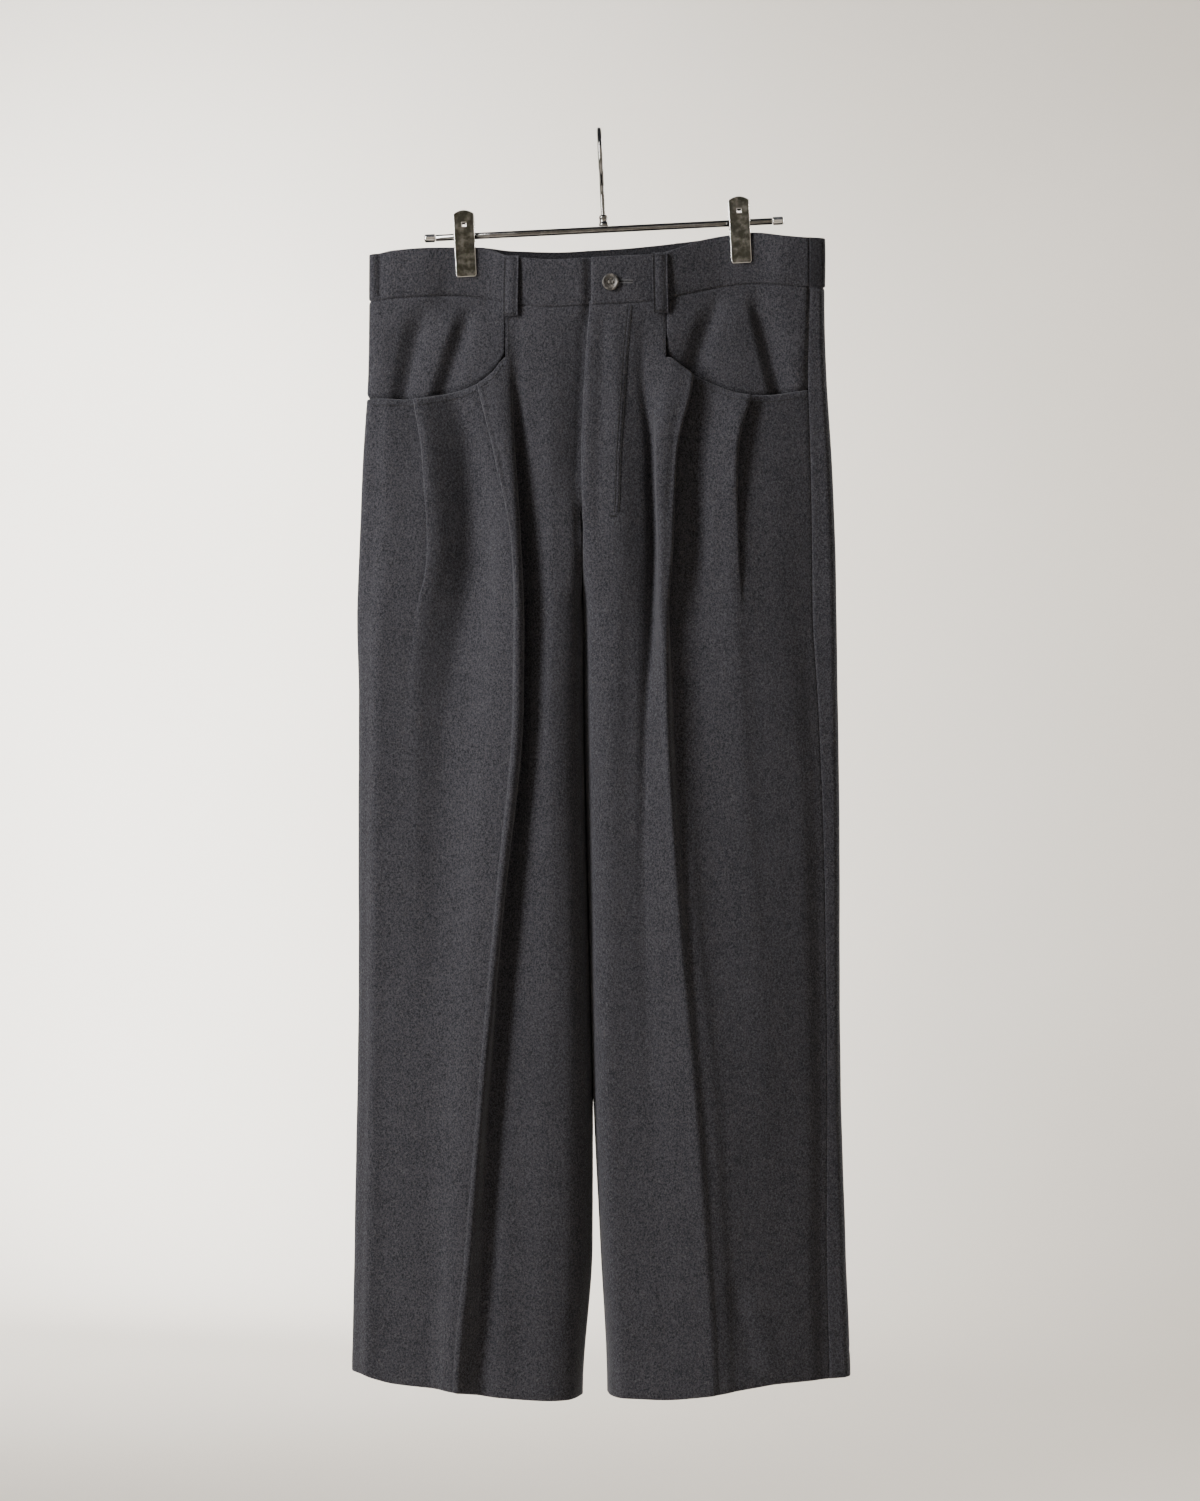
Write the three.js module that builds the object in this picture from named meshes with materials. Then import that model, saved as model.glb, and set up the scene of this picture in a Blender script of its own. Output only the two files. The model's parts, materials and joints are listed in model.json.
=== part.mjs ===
// Wide-leg trousers on a clip hanger, in millimetres, +Z up.
// The origin is the inner top of the hanger's hook. The trousers' front faces -Y.
// Sides are the wearer's: the wearer's right is at -X.
// "out" is the distance outward from the middle line, "front" the distance towards -Y,
// and "down" the distance below the origin.

import * as THREE from "three";

// Cloth and seams
const CLOTH = 1.6;
const BAND_CLOTH = 2.6;
const LOOP_CLOTH = 1.4;
const SEAM_GAP = 0.5;

// The heights, as down, at which the tables below give the legs
const HEIGHTS = [150, 215, 290, 380, 435, 515, 690, 865, 1000, 1135];
const CROTCH = 426;

// Each row is one line of the right leg, followed from waist to hem
const RIGHT_LEG = {
  side: -1,
  edgeOut: [206, 207, 211.5, 215, 217, 215.5, 215.5, 217, 219, 222],
  seamOut: [203, 204, 208.5, 212, 214, 212.5, 212.5, 214, 216, 219],
  seamFront: [-4, -4, -5, -5, -5, -5, -5, -5, -5, -5],
  fieldFront: [6, 9, 12, 15, 17, 17, 18, 18, 18, 18],
  pleatOut: [170, 170, 159, 154, 163, 170, 172, 174, 176, 178],
  pleatLow: [7, 9, 13, 18, 19, 18, 20, 21, 21, 21],
  pleatHigh: [9, 16, 21, 22.5, 20, 19, 20.5, 21.5, 21.5, 21.5],
  pleatLap: [8, 8, 8, 3, 0, 0, 0, 0, 0, 0],
  dipOut: [136, 136, 122, 118, 124, 138, 145, 150, 150, 150],
  dipFront: [8, 10, 9, 10, 13, 18, 23, 25, 26, 26],
  foldOut: [112, 110, 92, 75, 73, 72, 89, 106, 118, 129],
  foldLow: [8, 11, 15, 27, 33, 38, 41, 42, 40, 38],
  foldHigh: [8.6, 17, 28, 35, 38, 42, 44, 44, 42, 40],
  foldLap: [8, 8, 7, 1, 0, 0, 0, 0, 0, 0],
  foldWide: [4, 4, 4, 4, 4, 4, 4, 4, 4, 4],
  strip: [28, 26.5, 14, 3, 1, 1, 1, 1, 1, 1],
  slitWide: [9, 9, 9, 9, 9, 8, 9, 10, 14, 20],
  slitFront: [9.2, 13, 12, 12, 14, 20, 24, 28, 30, 31],
  slitLap: [0, 0, 3, 4, 4, 3, 2, 0, 0, 0],
  crestOut: [43, 43, 43, 42, 42, 43, 43, 44, 46, 50],
  crestFront: [13.6, 16, 20, 22, 24, 30, 34, 34, 33, 32],
  endOut: [17, 17, 17, 17, 16.2, 14.9, 11.2, 6.6, 6.4, 15.2],
  endFront: [1, 1, 1, 1, 1, 1, 1, 1, 1, 2],
  backOuter: [6, 10, 13, 15, 16, 17, 17, 17, 17, 17],
  backCrease: [4.2, 13, 22, 26, 28, 30, 31, 31, 30, 29],
  backInner: [11.5, 17, 22, 24, 24, 26, 27, 27, 26, 25],
};

const LEFT_LEG = {
  side: 1,
  edgeOut: [202.5, 204, 208.5, 212.5, 213.7, 214.6, 216, 217, 221, 226],
  seamOut: [189, 188, 190, 191.7, 192.3, 197, 203, 205, 204.5, 207],
  seamFront: [5, 4, 3, 3, 4, 5, 6, 7, 7, 7],
  fieldFront: [6.5, 8, 11, 13, 14, 15, 16, 16, 16, 17],
  pleatOut: [141, 141, 124, 125, 130, 138, 150, 160, 160, 162],
  pleatLow: [6, 9, 13, 18, 21, 22, 20, 18, 18, 19],
  pleatHigh: [7, 16, 21, 22.5, 22, 23, 20.5, 18.5, 18.5, 19.5],
  pleatLap: [8, 8, 8, 3, 0, 0, 0, 0, 0, 0],
  dipOut: [106, 106, 95, 88, 88, 92, 100, 120, 126, 130],
  dipFront: [5, 11, 14, 15, 16, 17, 21, 22, 23, 24],
  foldOut: [84.5, 84.5, 67.6, 58.7, 53.4, 57.8, 70.7, 85.8, 96, 102.3],
  foldLow: [8, 12, 15, 15, 17, 19, 24, 28, 28, 28],
  foldHigh: [12, 20, 30, 33, 30, 35, 40, 43, 42, 40],
  foldLap: [8, 8, 7, 5, 1, 0, 0, 0, 0, 0],
  foldWide: [4, 4, 4, 5, 8, 9, 14, 20, 22, 24],
  strip: [24.5, 24.5, 21, 12, 6, 3, 1, 1, 1, 1],
  slitWide: [20, 20, 6, 7, 8, 13, 27, 42, 50, 54],
  slitFront: [15.2, 15, 13, 12, 12, 16, 19, 24, 28, 31],
  slitLap: [0, 0, 1, 1, 0, 0, 0, 0, 0, 0],
  crestOut: [14, 15, 18, 17, 14, 13.5, 11, 10, 14, 24],
  crestFront: [18, 21, 24, 25, 24, 28, 30, 32, 33, 33],
  endOut: [-11, -11, -11, -11, -12, -12.1, -8.3, -4, 1.9, 8.1],
  endFront: [1, 1, 1, 1, 1, 1, 1, 1, 1, 1],
  backOuter: [6, 10, 13, 15, 16, 17, 17, 17, 17, 17],
  backCrease: [4.2, 13, 22, 26, 28, 30, 31, 31, 30, 29],
  backInner: [11.5, 17, 22, 24, 24, 26, 27, 27, 26, 25],
};

// The pocket mouths, from the vertical seam to the side seam
const RIGHT_MOUTH = {
  out: [83.7, 92.3, 109, 131.4, 146.7, 166.8, 200.7, 209],
  down: [206, 217, 230, 238, 241, 244, 243, 243],
};
const LEFT_MOUTH = {
  out: [60.5, 75.6, 85.2, 103.5, 122.4, 136.4, 153, 169.2, 189.5],
  down: [206, 215.4, 222.4, 231, 238, 240.2, 239.9, 237.9, 235],
};

// The hems
const RIGHT_HEM = { out: [12, 27, 96, 130, 185, 223], down: [1134, 1135, 1132, 1126, 1121, 1113] };
const LEFT_HEM = { out: [8, 56, 102, 137, 161, 206, 226], down: [1132, 1133, 1129, 1124, 1121, 1119, 1118] };

// The waistband, along X: top edge, lower seam, back band's top edge, and the depth of front and back
const BAND = {
  x: [-206, -185, -160, -132, -106, -80, -40, -7, 25, 50, 70, 90, 114, 141, 165, 185, 202.5],
  top: [110, 107, 105, 104, 104, 112, 115, 113.5, 112, 111, 106, 98.5, 93.5, 90.6, 93.5, 95, 95.3],
  bottom: [152, 150, 148.5, 147, 149, 155, 159, 157, 155.7, 153.5, 148.5, 144, 138.8, 136.4, 138, 139.5, 140],
  backTop: [110, 107, 105, 104, 104, 108.5, 108, 105.5, 104.5, 102, 99.8, 97, 93.5, 90.6, 93.5, 95, 95.3],
  backBottom: [152, 150, 148.5, 147, 149, 151.5, 151, 148.5, 147.5, 145, 142.8, 141, 138.8, 136.4, 138, 139.5, 140],
  front: [0, 6, 7.5, 3.4, 3.4, 9, 14, 16, 16, 14, 11, 7, 3.4, 3.4, 7, 5.5, 0],
  back: [0, 6, 7.5, 3.4, 3.4, 8, 12, 13.5, 13, 12, 10, 7, 3.4, 3.4, 7.5, 6, 0],
};
const FLY_EDGE = -7;
const UNDERLAP_END = 24;
const UNDERLAP_DEPTH = 3.2;

// The hip yokes: how far below the waistband's seam the facing ends, and its folds under the clips
const FACING_END = 300;
const RIGHT_YOKE = {
  out: [84, 108, 120, 136, 150, 166, 180, 193],
  front: [9, 7, 3.6, 4, 9, 6, 3, 4.5],
};
const LEFT_YOKE = {
  out: [60, 78, 92, 108, 124, 139, 155, 172],
  front: [15, 11, 4.5, 7, 8, 5.5, 2.5, 5],
};

// Belt loops
const LOOP_WIDE = 12.5;
const LOOP_OVERLAP = 9;
const LOOP_BOW = 1.4;
const LOOP_STEP = 1.1;
const FRONT_LOOPS = { right: -79.2, left: 55 };
const BACK_LOOPS = { right: -76, centre: -4, left: 76 };

// Button
const BUTTON_X = 10.4;
const BUTTON_DOWN = 135.5;
const BUTTON_RADIUS = 7.6;
const BUTTON_THICK = 3;
const BUTTON_HOLE = 0.9;

// Hanger
const HANGER_ROLL = THREE.MathUtils.degToRad(2.87);
const WIRE = 4;
const HOOK_RADIUS = 24;
const HOOK_END = 75;
const BAR_DOWN = 88;
const BAR_LENGTH = 324;
const BAR_DIAMETER = 6;
const CAP_LENGTH = 10;
const CAP_DIAMETER = 7.6;
const FERRULE_DIAMETER = 8;
const CLIP_WIDE = 18.5;
const CLIP_TALL = 60;
const CLIP_THICK = 1.4;
const CLIP_SPOTS = { right: -125.5, left: 122 };
const CLIP_TOP_DOWN = 65;
const CLIP_WINDOW = 6;
const PINCH = 3.5;
const BARREL_DIAMETER = 10.6;

const NAVY_WOOL = 0x23242a;
const DARK_METAL = 0x3a3a3e;
const CHROME = 0xb8babd;
const HORN = 0x5a5148;

// Smooth value at t through a column of values at the given stops
function follow(stops, values, t) {
  const last = stops.length - 1;
  if (t <= stops[0]) return values[0];
  if (t >= stops[last]) return values[last];
  let k = 0;
  while (stops[k + 1] < t) k += 1;
  const slope = (i) => {
    if (i <= 0 || i >= last) return 0;
    const before = (values[i] - values[i - 1]) / (stops[i] - stops[i - 1]);
    const after = (values[i + 1] - values[i]) / (stops[i + 1] - stops[i]);
    return before * after <= 0 ? 0 : (2 * before * after) / (before + after);
  };
  const span = stops[k + 1] - stops[k];
  const s = (t - stops[k]) / span;
  const rise = values[k] * (1 + 2 * s) * (1 - s) ** 2 + values[k + 1] * s * s * (3 - 2 * s);
  return rise + span * (slope(k) * s * (1 - s) ** 2 + slope(k + 1) * s * s * (s - 1));
}

const bandLine = (row, x) => follow(BAND.x, BAND[row], x);

// One leg's values at a height
function atHeight(leg, down) {
  const row = {};
  for (const [name, values] of Object.entries(leg)) {
    if (name !== "side") row[name] = follow(HEIGHTS, values, down);
  }
  return row;
}

const ease = (t) => t * t * (3 - 2 * t);

// Points between two stations, without the stations themselves
function between(a, b, count, shape = ease) {
  return Array.from({ length: count }, (_, i) => {
    const t = (i + 1) / (count + 1);
    return { out: a.out + (b.out - a.out) * t, front: a.front + (b.front - a.front) * shape(t) };
  });
}

// A step in the cloth seen from above, which folds over itself where lap is more than 0
const STEP_STOPS = [0, 0.14, 0.28, 0.5, 0.72, 0.86, 1];
function step(from, to, lap) {
  const wide = Math.abs(to.out - from.out);
  const handle = wide / 2 + Math.min(1, lap / 2) * 0.59 * wide + 1.73 * lap;
  const way = Math.sign(to.out - from.out);
  const a = from.out;
  const b = from.out + way * handle;
  const c = to.out - way * handle;
  const d = to.out;
  return STEP_STOPS.map((t) => {
    const s = 1 - t;
    return {
      out: a * s ** 3 + 3 * b * s * s * t + 3 * c * s * t * t + d * t ** 3,
      front: from.front + (to.front - from.front) * ease(t),
    };
  });
}

// The centre front: the fly's edge above, and the seam below it down to the crotch
const CENTRE_FRONT = {
  down: [150, 215, 290, 360, 405, 430],
  x: [-7, -12, -15, -14, -14, -14],
  front: [17, 17.5, 19, 18, 11, 1],
};
const UNDERLAP = { down: [290, 318, 345, 372], wide: [16, 8, -0.9, 0], depth: [4.6, 4.4, 3, 0] };

// How far a height is past the crotch, from 0 on the joined trunk to 1 on the parted legs
const parted = (down) => ease(THREE.MathUtils.clamp((down - CROTCH + 8) / 30, 0, 1));

function frontEnd(leg, r, down) {
  const x = follow(CENTRE_FRONT.down, CENTRE_FRONT.x, down);
  const front = follow(CENTRE_FRONT.down, CENTRE_FRONT.front, down);
  const under = leg.side < 0 ? follow(UNDERLAP.down, UNDERLAP.wide, down) : 0;
  const depth = leg.side < 0 ? follow(UNDERLAP.down, UNDERLAP.depth, down) : 0;
  const t = parted(down);
  const end = {
    out: THREE.MathUtils.lerp(leg.side * x - under, r.endOut, t),
    front: THREE.MathUtils.lerp(front - depth, r.endFront, t),
  };
  return { end, under };
}

// The front of a leg seen from above, from the side seam to its inner end.
// "seamAt" is the index where the strip between the folds ends, below the vertical seam.
function frontSection(leg, down) {
  const r = atHeight(leg, down);
  const seam = { out: r.seamOut, front: r.seamFront };
  const line = [seam];
  let last = seam;
  if (leg.side < 0) {
    last = { out: r.edgeOut - 2, front: 5 };
    line.push({ out: r.edgeOut, front: 0 }, last);
  } else {
    last = { out: r.seamOut - 6, front: r.seamFront + 1.4 };
    line.push(last);
  }
  const pleatIn = { out: r.pleatOut - r.pleatLap / 2 + 2, front: r.pleatLow };
  const pleatOut = { out: pleatIn.out - 4, front: r.pleatHigh };
  const field = { out: (last.out * 2 + pleatIn.out) / 3, front: r.fieldFront };
  const dip = { out: r.dipOut, front: r.dipFront };
  const foldTop = { out: r.foldOut - r.foldLap / 2 - 2, front: r.foldHigh };
  const foldIn = { out: foldTop.out + r.foldWide, front: r.foldLow };
  const stripEnd = { out: Math.min(r.foldOut - r.strip, foldTop.out - 0.8), front: r.foldHigh };
  const valley = { out: stripEnd.out - r.slitWide, front: r.slitFront };
  const crest = { out: r.crestOut, front: r.crestFront };
  const { end, under } = frontEnd(leg, r, down);
  const tuck = { out: end.out + under + 3, front: end.front };
  const round = (t) => 1 - Math.sqrt(1 - t * t);
  line.push(...between(last, field, 1), field, ...between(field, pleatIn, 1));
  line.push(...step(pleatIn, pleatOut, r.pleatLap));
  line.push(...between(pleatOut, dip, 1), dip, ...between(dip, foldIn, 2));
  line.push(...step(foldIn, foldTop, r.foldLap));
  const seamAt = line.length;
  line.push(...step(stripEnd, valley, r.slitLap));
  line.push(...between(valley, crest, 1), crest);
  if (leg.side < 0) {
    const lap = THREE.MathUtils.clamp(under / 5, 0, 1);
    const flat = [...between(crest, tuck, 2), tuck];
    const rolled = between(crest, end, 3, round);
    rolled.forEach((p, k) => {
      line.push({
        out: THREE.MathUtils.lerp(p.out, flat[k].out, lap),
        front: THREE.MathUtils.lerp(p.front, flat[k].front, lap),
      });
    });
  } else {
    line.push(...between(crest, end, 3, round));
  }
  line.push(end);
  return { line, seamAt };
}

// Where the two back legs meet above the crotch
const CENTRE_BACK = { down: [150, 215, 330, 405, 430], x: [-4, -6, -12, -14, -14], back: [13, 20, 25, 14, 0] };

// The back of a leg, from the side seam round to its inner end
function backSection(leg, down) {
  const r = atHeight(leg, down);
  const seam = { out: r.seamOut, front: r.seamFront };
  const line = [seam];
  if (leg.side > 0) {
    const round = { out: r.edgeOut - 4, front: r.seamFront * 0.7 };
    line.push(...between(seam, round, 1, (t) => t), round, { out: r.edgeOut, front: -4 });
  }
  const turn = { out: r.edgeOut - 4, front: -8 };
  const outer = { out: r.edgeOut - 30, front: -r.backOuter - 2 };
  const crease = { out: 116, front: -r.backCrease };
  const inner = { out: 50, front: -r.backInner };
  const t = parted(down);
  const back = follow(CENTRE_BACK.down, CENTRE_BACK.back, down);
  const end = {
    out: THREE.MathUtils.lerp(leg.side * follow(CENTRE_BACK.down, CENTRE_BACK.x, down), r.endOut, t),
    front: THREE.MathUtils.lerp(-back, r.endFront, t),
  };
  line.push(turn, ...between(turn, outer, 1), outer, ...between(outer, crease, 2, (t) => t ** 1.3));
  line.push(crease, ...between(crease, inner, 2, (t) => t ** 0.8), inner);
  line.push(...between(inner, end, 3, (t) => 1 - Math.sqrt(1 - t * t)), end);
  return line;
}

// A closed cloth wall through a grid of points: rows run down the garment, columns across it.
// Each point is on the wall's middle, and "kept" says which cells are cloth. A row's "past" and
// "next" are the neighbour piece's points across its two seams, so that both ends are mitred.
function clothWall(name, rows, thick, colour, kept = () => true) {
  const across = rows[0].length;
  const points = rows.flat();
  const normals = points.map((_, k) => {
    const j = Math.floor(k / across);
    const i = k % across;
    const before = i > 0 ? rows[j][i - 1] : rows[j].past ?? rows[j][0];
    const after = i < across - 1 ? rows[j][i + 1] : rows[j].next ?? rows[j][i];
    const alongX = after.x - before.x;
    const alongY = after.y - before.y;
    const size = Math.hypot(alongX, alongY) || 1;
    return { x: alongY / size, y: -alongX / size };
  });
  const count = points.length;
  const place = [];
  for (const way of [0.5, -0.5]) {
    points.forEach((p, k) => {
      place.push(p.x + normals[k].x * thick * way, p.y + normals[k].y * thick * way, p.z);
    });
  }
  const faces = [];
  const edges = new Map();
  const quad = (a, b, c, d) => faces.push(a, b, c, a, c, d);
  for (let j = 0; j < rows.length - 1; j += 1) {
    for (let i = 0; i < across - 1; i += 1) {
      if (!kept(i, j)) continue;
      const a = j * across + i;
      const corners = [a, a + across, a + across + 1, a + 1];
      quad(...corners);
      quad(...corners.map((k) => k + count).reverse());
      corners.forEach((from, n) => {
        const to = corners[(n + 1) % 4];
        const twin = `${to},${from}`;
        if (edges.has(twin)) edges.delete(twin);
        else edges.set(`${from},${to}`, [from, to]);
      });
    }
  }
  for (const [from, to] of edges.values()) quad(to, from, from + count, to + count);
  return meshOf(name, place, faces, colour, 0.95, 0);
}

// A mesh of its own from places and faces, without unused places, facing outward
function meshOf(name, place, faces, colour, roughness, metalness) {
  const used = new Map();
  const position = [];
  const index = faces.map((k) => {
    if (!used.has(k)) {
      used.set(k, used.size);
      position.push(place[3 * k], place[3 * k + 1], place[3 * k + 2]);
    }
    return used.get(k);
  });
  if (volume(position, index) < 0) {
    for (let k = 0; k < index.length; k += 3) [index[k + 1], index[k + 2]] = [index[k + 2], index[k + 1]];
  }
  const geometry = new THREE.BufferGeometry();
  geometry.setAttribute("position", new THREE.Float32BufferAttribute(position, 3));
  geometry.setIndex(index);
  return named(name, geometry, colour, roughness, metalness);
}

function volume(position, index) {
  const corner = (k) => new THREE.Vector3().fromArray(position, 3 * index[k]);
  let sum = 0;
  for (let k = 0; k < index.length; k += 3) sum += corner(k).dot(corner(k + 1).cross(corner(k + 2)));
  return sum;
}

function named(name, geometry, colour, roughness, metalness) {
  const mesh = new THREE.Mesh(geometry, new THREE.MeshStandardMaterial({ color: colour, roughness, metalness }));
  mesh.name = name;
  return mesh;
}

const place = (side, p, down) => new THREE.Vector3(side * p.out, -p.front, -down);

// Pulls the two ends of a row back by half the seam's gap
function trimEnds(row, gap = SEAM_GAP) {
  const pull = (end, next) => {
    const step3 = next.clone().sub(end);
    step3.z = 0;
    end.addScaledVector(step3.normalize(), gap / 2);
  };
  pull(row[0], row[1]);
  pull(row[row.length - 1], row[row.length - 2]);
  return row;
}

// The heights of the rows of points on the front and back legs, between their top edge and the hem
const FRONT_DOWNS = [
  262, 290, 318, 345, 372, 395, 412, 424, 434, 448, 475, 515, 560, 602, 645, 690, 775, 865, 935, 1000, 1065,
];
const BACK_DOWNS = [185, 235, 290, 345, 372, 395, 412, 424, 434, 448, 515, 602, 690, 865, 1000];
const TOP_STOPS = [0, 0.33, 0.66, 1];
const MOUTH_SLOPE = 0.4;

const clothTop = (x) => bandLine("bottom", x) + 1.5 * SEAM_GAP;
const sectionAt = { front: (leg, down) => frontSection(leg, down).line, back: backSection };

// A row of one leg's panel. Where it runs along a slanted edge, its height follows the point's place.
function panelRow(leg, face, downOf) {
  const section = sectionAt[face];
  const outs = section(leg, downOf(120)).map((p) => p.out);
  return outs.map((first, i) => {
    let out = first;
    for (let pass = 0; pass < 2; pass += 1) out = section(leg, downOf(out))[i].out;
    return place(leg.side, section(leg, downOf(out))[i], downOf(out));
  });
}

// Finds the neighbours across a level row's side seam and inner seam
function mitre(row, leg, face, down) {
  const other = leg === RIGHT_LEG ? LEFT_LEG : RIGHT_LEG;
  const opposite = face === "front" ? "back" : "front";
  const across = sectionAt[opposite](leg, down);
  row.past = place(leg.side, across[1], down);
  if (parted(down) > 0.5) {
    row.next = place(leg.side, across[across.length - 2], down);
  } else if (face === "back" || down >= UNDERLAP.down[3]) {
    const twin = sectionAt[face](other, down);
    row.next = place(other.side, twin[twin.length - 2], down);
  }
  return trimEnds(row);
}

// A front leg: below the mouth it is whole, and above it only the part inside the vertical seam
function frontLeg(name, leg, mouth, hem) {
  const mouthDown = (out) => follow(mouth.out, mouth.down, out);
  const hemDown = (out) => follow(hem.out, hem.down, out);
  const first = FRONT_DOWNS[0];
  const rows = TOP_STOPS.map((t) => {
    const downOf = (out) => THREE.MathUtils.lerp(clothTop(leg.side * out), mouthDown(out), t);
    return trimEnds(panelRow(leg, "front", downOf));
  });
  rows.push(trimEnds(panelRow(leg, "front", (out) => THREE.MathUtils.lerp(mouthDown(out), first, MOUTH_SLOPE))));
  for (const down of FRONT_DOWNS) rows.push(mitre(panelRow(leg, "front", () => down), leg, "front", down));
  rows.push(mitre(panelRow(leg, "front", hemDown), leg, "front", hemDown(120)));
  const { seamAt } = frontSection(leg, first);
  const kept = (i, j) => j >= TOP_STOPS.length - 1 || i >= seamAt;
  return clothWall(name, rows, CLOTH, NAVY_WOOL, kept);
}

function backLeg(name, leg, hem) {
  const hemDown = (out) => follow(hem.out, hem.down, out);
  const rows = [trimEnds(panelRow(leg, "back", (out) => bandLine("backBottom", leg.side * out) + 2 * SEAM_GAP))];
  for (const down of BACK_DOWNS) rows.push(mitre(panelRow(leg, "back", () => down), leg, "back", down));
  rows.push(mitre(panelRow(leg, "back", hemDown), leg, "back", hemDown(120)));
  return clothWall(name, rows, CLOTH, NAVY_WOOL);
}

// A hip yoke, which carries on below the mouth as the pocket's facing, set inward by "inset"
const YOKE_STOPS = [0, 0.25, 0.5, 0.75, 1];
const FACING_STOPS = [0, 0.5, 1];
const FACING_INSET = 3.5;
function hipYoke(name, leg, mouth, shape) {
  const section = (downOf, inset) => {
    const line = shape.out.map((out, i) => {
      const down = downOf(out);
      const settle = ease(THREE.MathUtils.clamp((down - 155) / 70, 0, 1));
      const band = bandLine("front", leg.side * out);
      return { out, front: THREE.MathUtils.lerp(band, shape.front[i], settle) - inset, down };
    });
    line[0].out += SEAM_GAP + inset / 2;
    const down = downOf(leg.side < 0 ? 206 : 189);
    const r = atHeight(leg, down);
    if (leg.side < 0) {
      line.push({ out: r.edgeOut - 2.5 - inset, front: 4 - inset, down });
      line.push({ out: r.edgeOut - inset, front: 0, down });
      const turn = inset > 0 ? { out: r.edgeOut - inset, front: -1.5 } : { out: r.seamOut, front: r.seamFront };
      line.push({ ...turn, down });
    } else {
      line.push({ out: r.seamOut - inset / 2, front: r.seamFront - inset, down });
    }
    return trimEnds(line.map((p) => place(leg.side, p, p.down)), 2 * SEAM_GAP);
  };
  const mouthDown = (out) => follow(mouth.out, mouth.down, out);
  const rows = YOKE_STOPS.map((t) =>
    section((out) => THREE.MathUtils.lerp(clothTop(leg.side * out), mouthDown(out) - 7, t), 0));
  for (const t of FACING_STOPS) {
    rows.push(section((out) => THREE.MathUtils.lerp(mouthDown(out) - 1, FACING_END, t), FACING_INSET));
  }
  return clothWall(name, rows, CLOTH, NAVY_WOOL);
}

// A stretch of the waistband through spots along X, each with how far it stands to the front
function bandWall(name, spots, topRow, bottomRow) {
  const rows = [0, 0.5, 1].map((t) => {
    const row = spots.map(({ x, front }) => {
      const down = THREE.MathUtils.lerp(bandLine(topRow, x), bandLine(bottomRow, x), t);
      return new THREE.Vector3(x, -front, -down);
    });
    return trimEnds(row, 2 * SEAM_GAP);
  });
  return clothWall(name, rows, BAND_CLOTH, NAVY_WOOL);
}

function spread(from, to, count, front) {
  return Array.from({ length: count + 1 }, (_, i) => {
    const x = from + ((to - from) * i) / count;
    return { x, front: front(x) };
  });
}

const bandFront = (x) => bandLine("front", x);

function waistbands() {
  const tucked = (x) => bandFront(x) - UNDERLAP_DEPTH * ease(THREE.MathUtils.clamp((x + 22) / 12, 0, 1));
  const rightTurn = [{ x: -203, front: -4 }, { x: -206, front: -1 }, { x: -203.5, front: 3 }];
  const leftTurn = [
    { x: 189, front: 5.2 }, { x: 196, front: 4 }, { x: 201, front: 2 },
    { x: 202.5, front: -1.2 }, { x: 199.5, front: -4.4 },
  ];
  const behind = spread(190, -193, 34, (x) => -bandLine("back", x));
  const under = [...rightTurn, ...spread(-195, UNDERLAP_END, 24, tucked)];
  const round = [...leftTurn, ...behind, { x: -200, front: -5.4 }, { x: -203, front: -4 }];
  return [
    bandWall("right_front_waistband", under, "top", "bottom"),
    bandWall("left_front_waistband", spread(FLY_EDGE, 189, 22, bandFront), "top", "bottom"),
    bandWall("back_waistband", round, "backTop", "backBottom"),
  ];
}

// A belt loop lies on the band and reaches past its lower seam
function beltLoop(name, x, onFront) {
  const way = onFront ? 1 : -1;
  const top = bandLine(onFront ? "top" : "backTop", x) + 0.5;
  const bottom = bandLine(onFront ? "bottom" : "backBottom", x) + LOOP_OVERLAP;
  const lift = BAND_CLOTH / 2 + LOOP_CLOTH / 2 + SEAM_GAP;
  const rows = [0, 0.08, 0.3, 0.55, 0.8, 0.93, 1].map((t) => {
    const bow = LOOP_BOW * Math.sin(Math.PI * t) ** 0.7 + LOOP_STEP * t;
    return [-0.5, 0, 0.5].map((s) => {
      const at = x + way * s * LOOP_WIDE;
      const on = onFront ? bandFront(at) : bandLine("back", at);
      return new THREE.Vector3(at, -way * (on + lift + bow), -THREE.MathUtils.lerp(top, bottom, t));
    });
  });
  return clothWall(name, rows, LOOP_CLOTH, NAVY_WOOL);
}

// The button has a raised rim, a dished middle and four holes
function waistButton() {
  const outline = new THREE.Shape().absarc(0, 0, BUTTON_RADIUS, 0, 2 * Math.PI);
  for (const [across, up] of [[1, 1], [-1, 1], [-1, -1], [1, -1]]) {
    outline.holes.push(new THREE.Path().absarc(1.5 * across, 1.5 * up, BUTTON_HOLE, 0, 2 * Math.PI, true));
  }
  const geometry = new THREE.ExtrudeGeometry(outline, {
    depth: BUTTON_THICK, bevelEnabled: false, curveSegments: 12,
  });
  const button = named("waist_button", geometry, HORN, 0.35, 0);
  const face = bandFront(BUTTON_X) + BAND_CLOTH / 2 + 0.35;
  button.rotation.x = Math.PI / 2;
  button.position.set(BUTTON_X, -face, -BUTTON_DOWN);
  return button;
}

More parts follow.
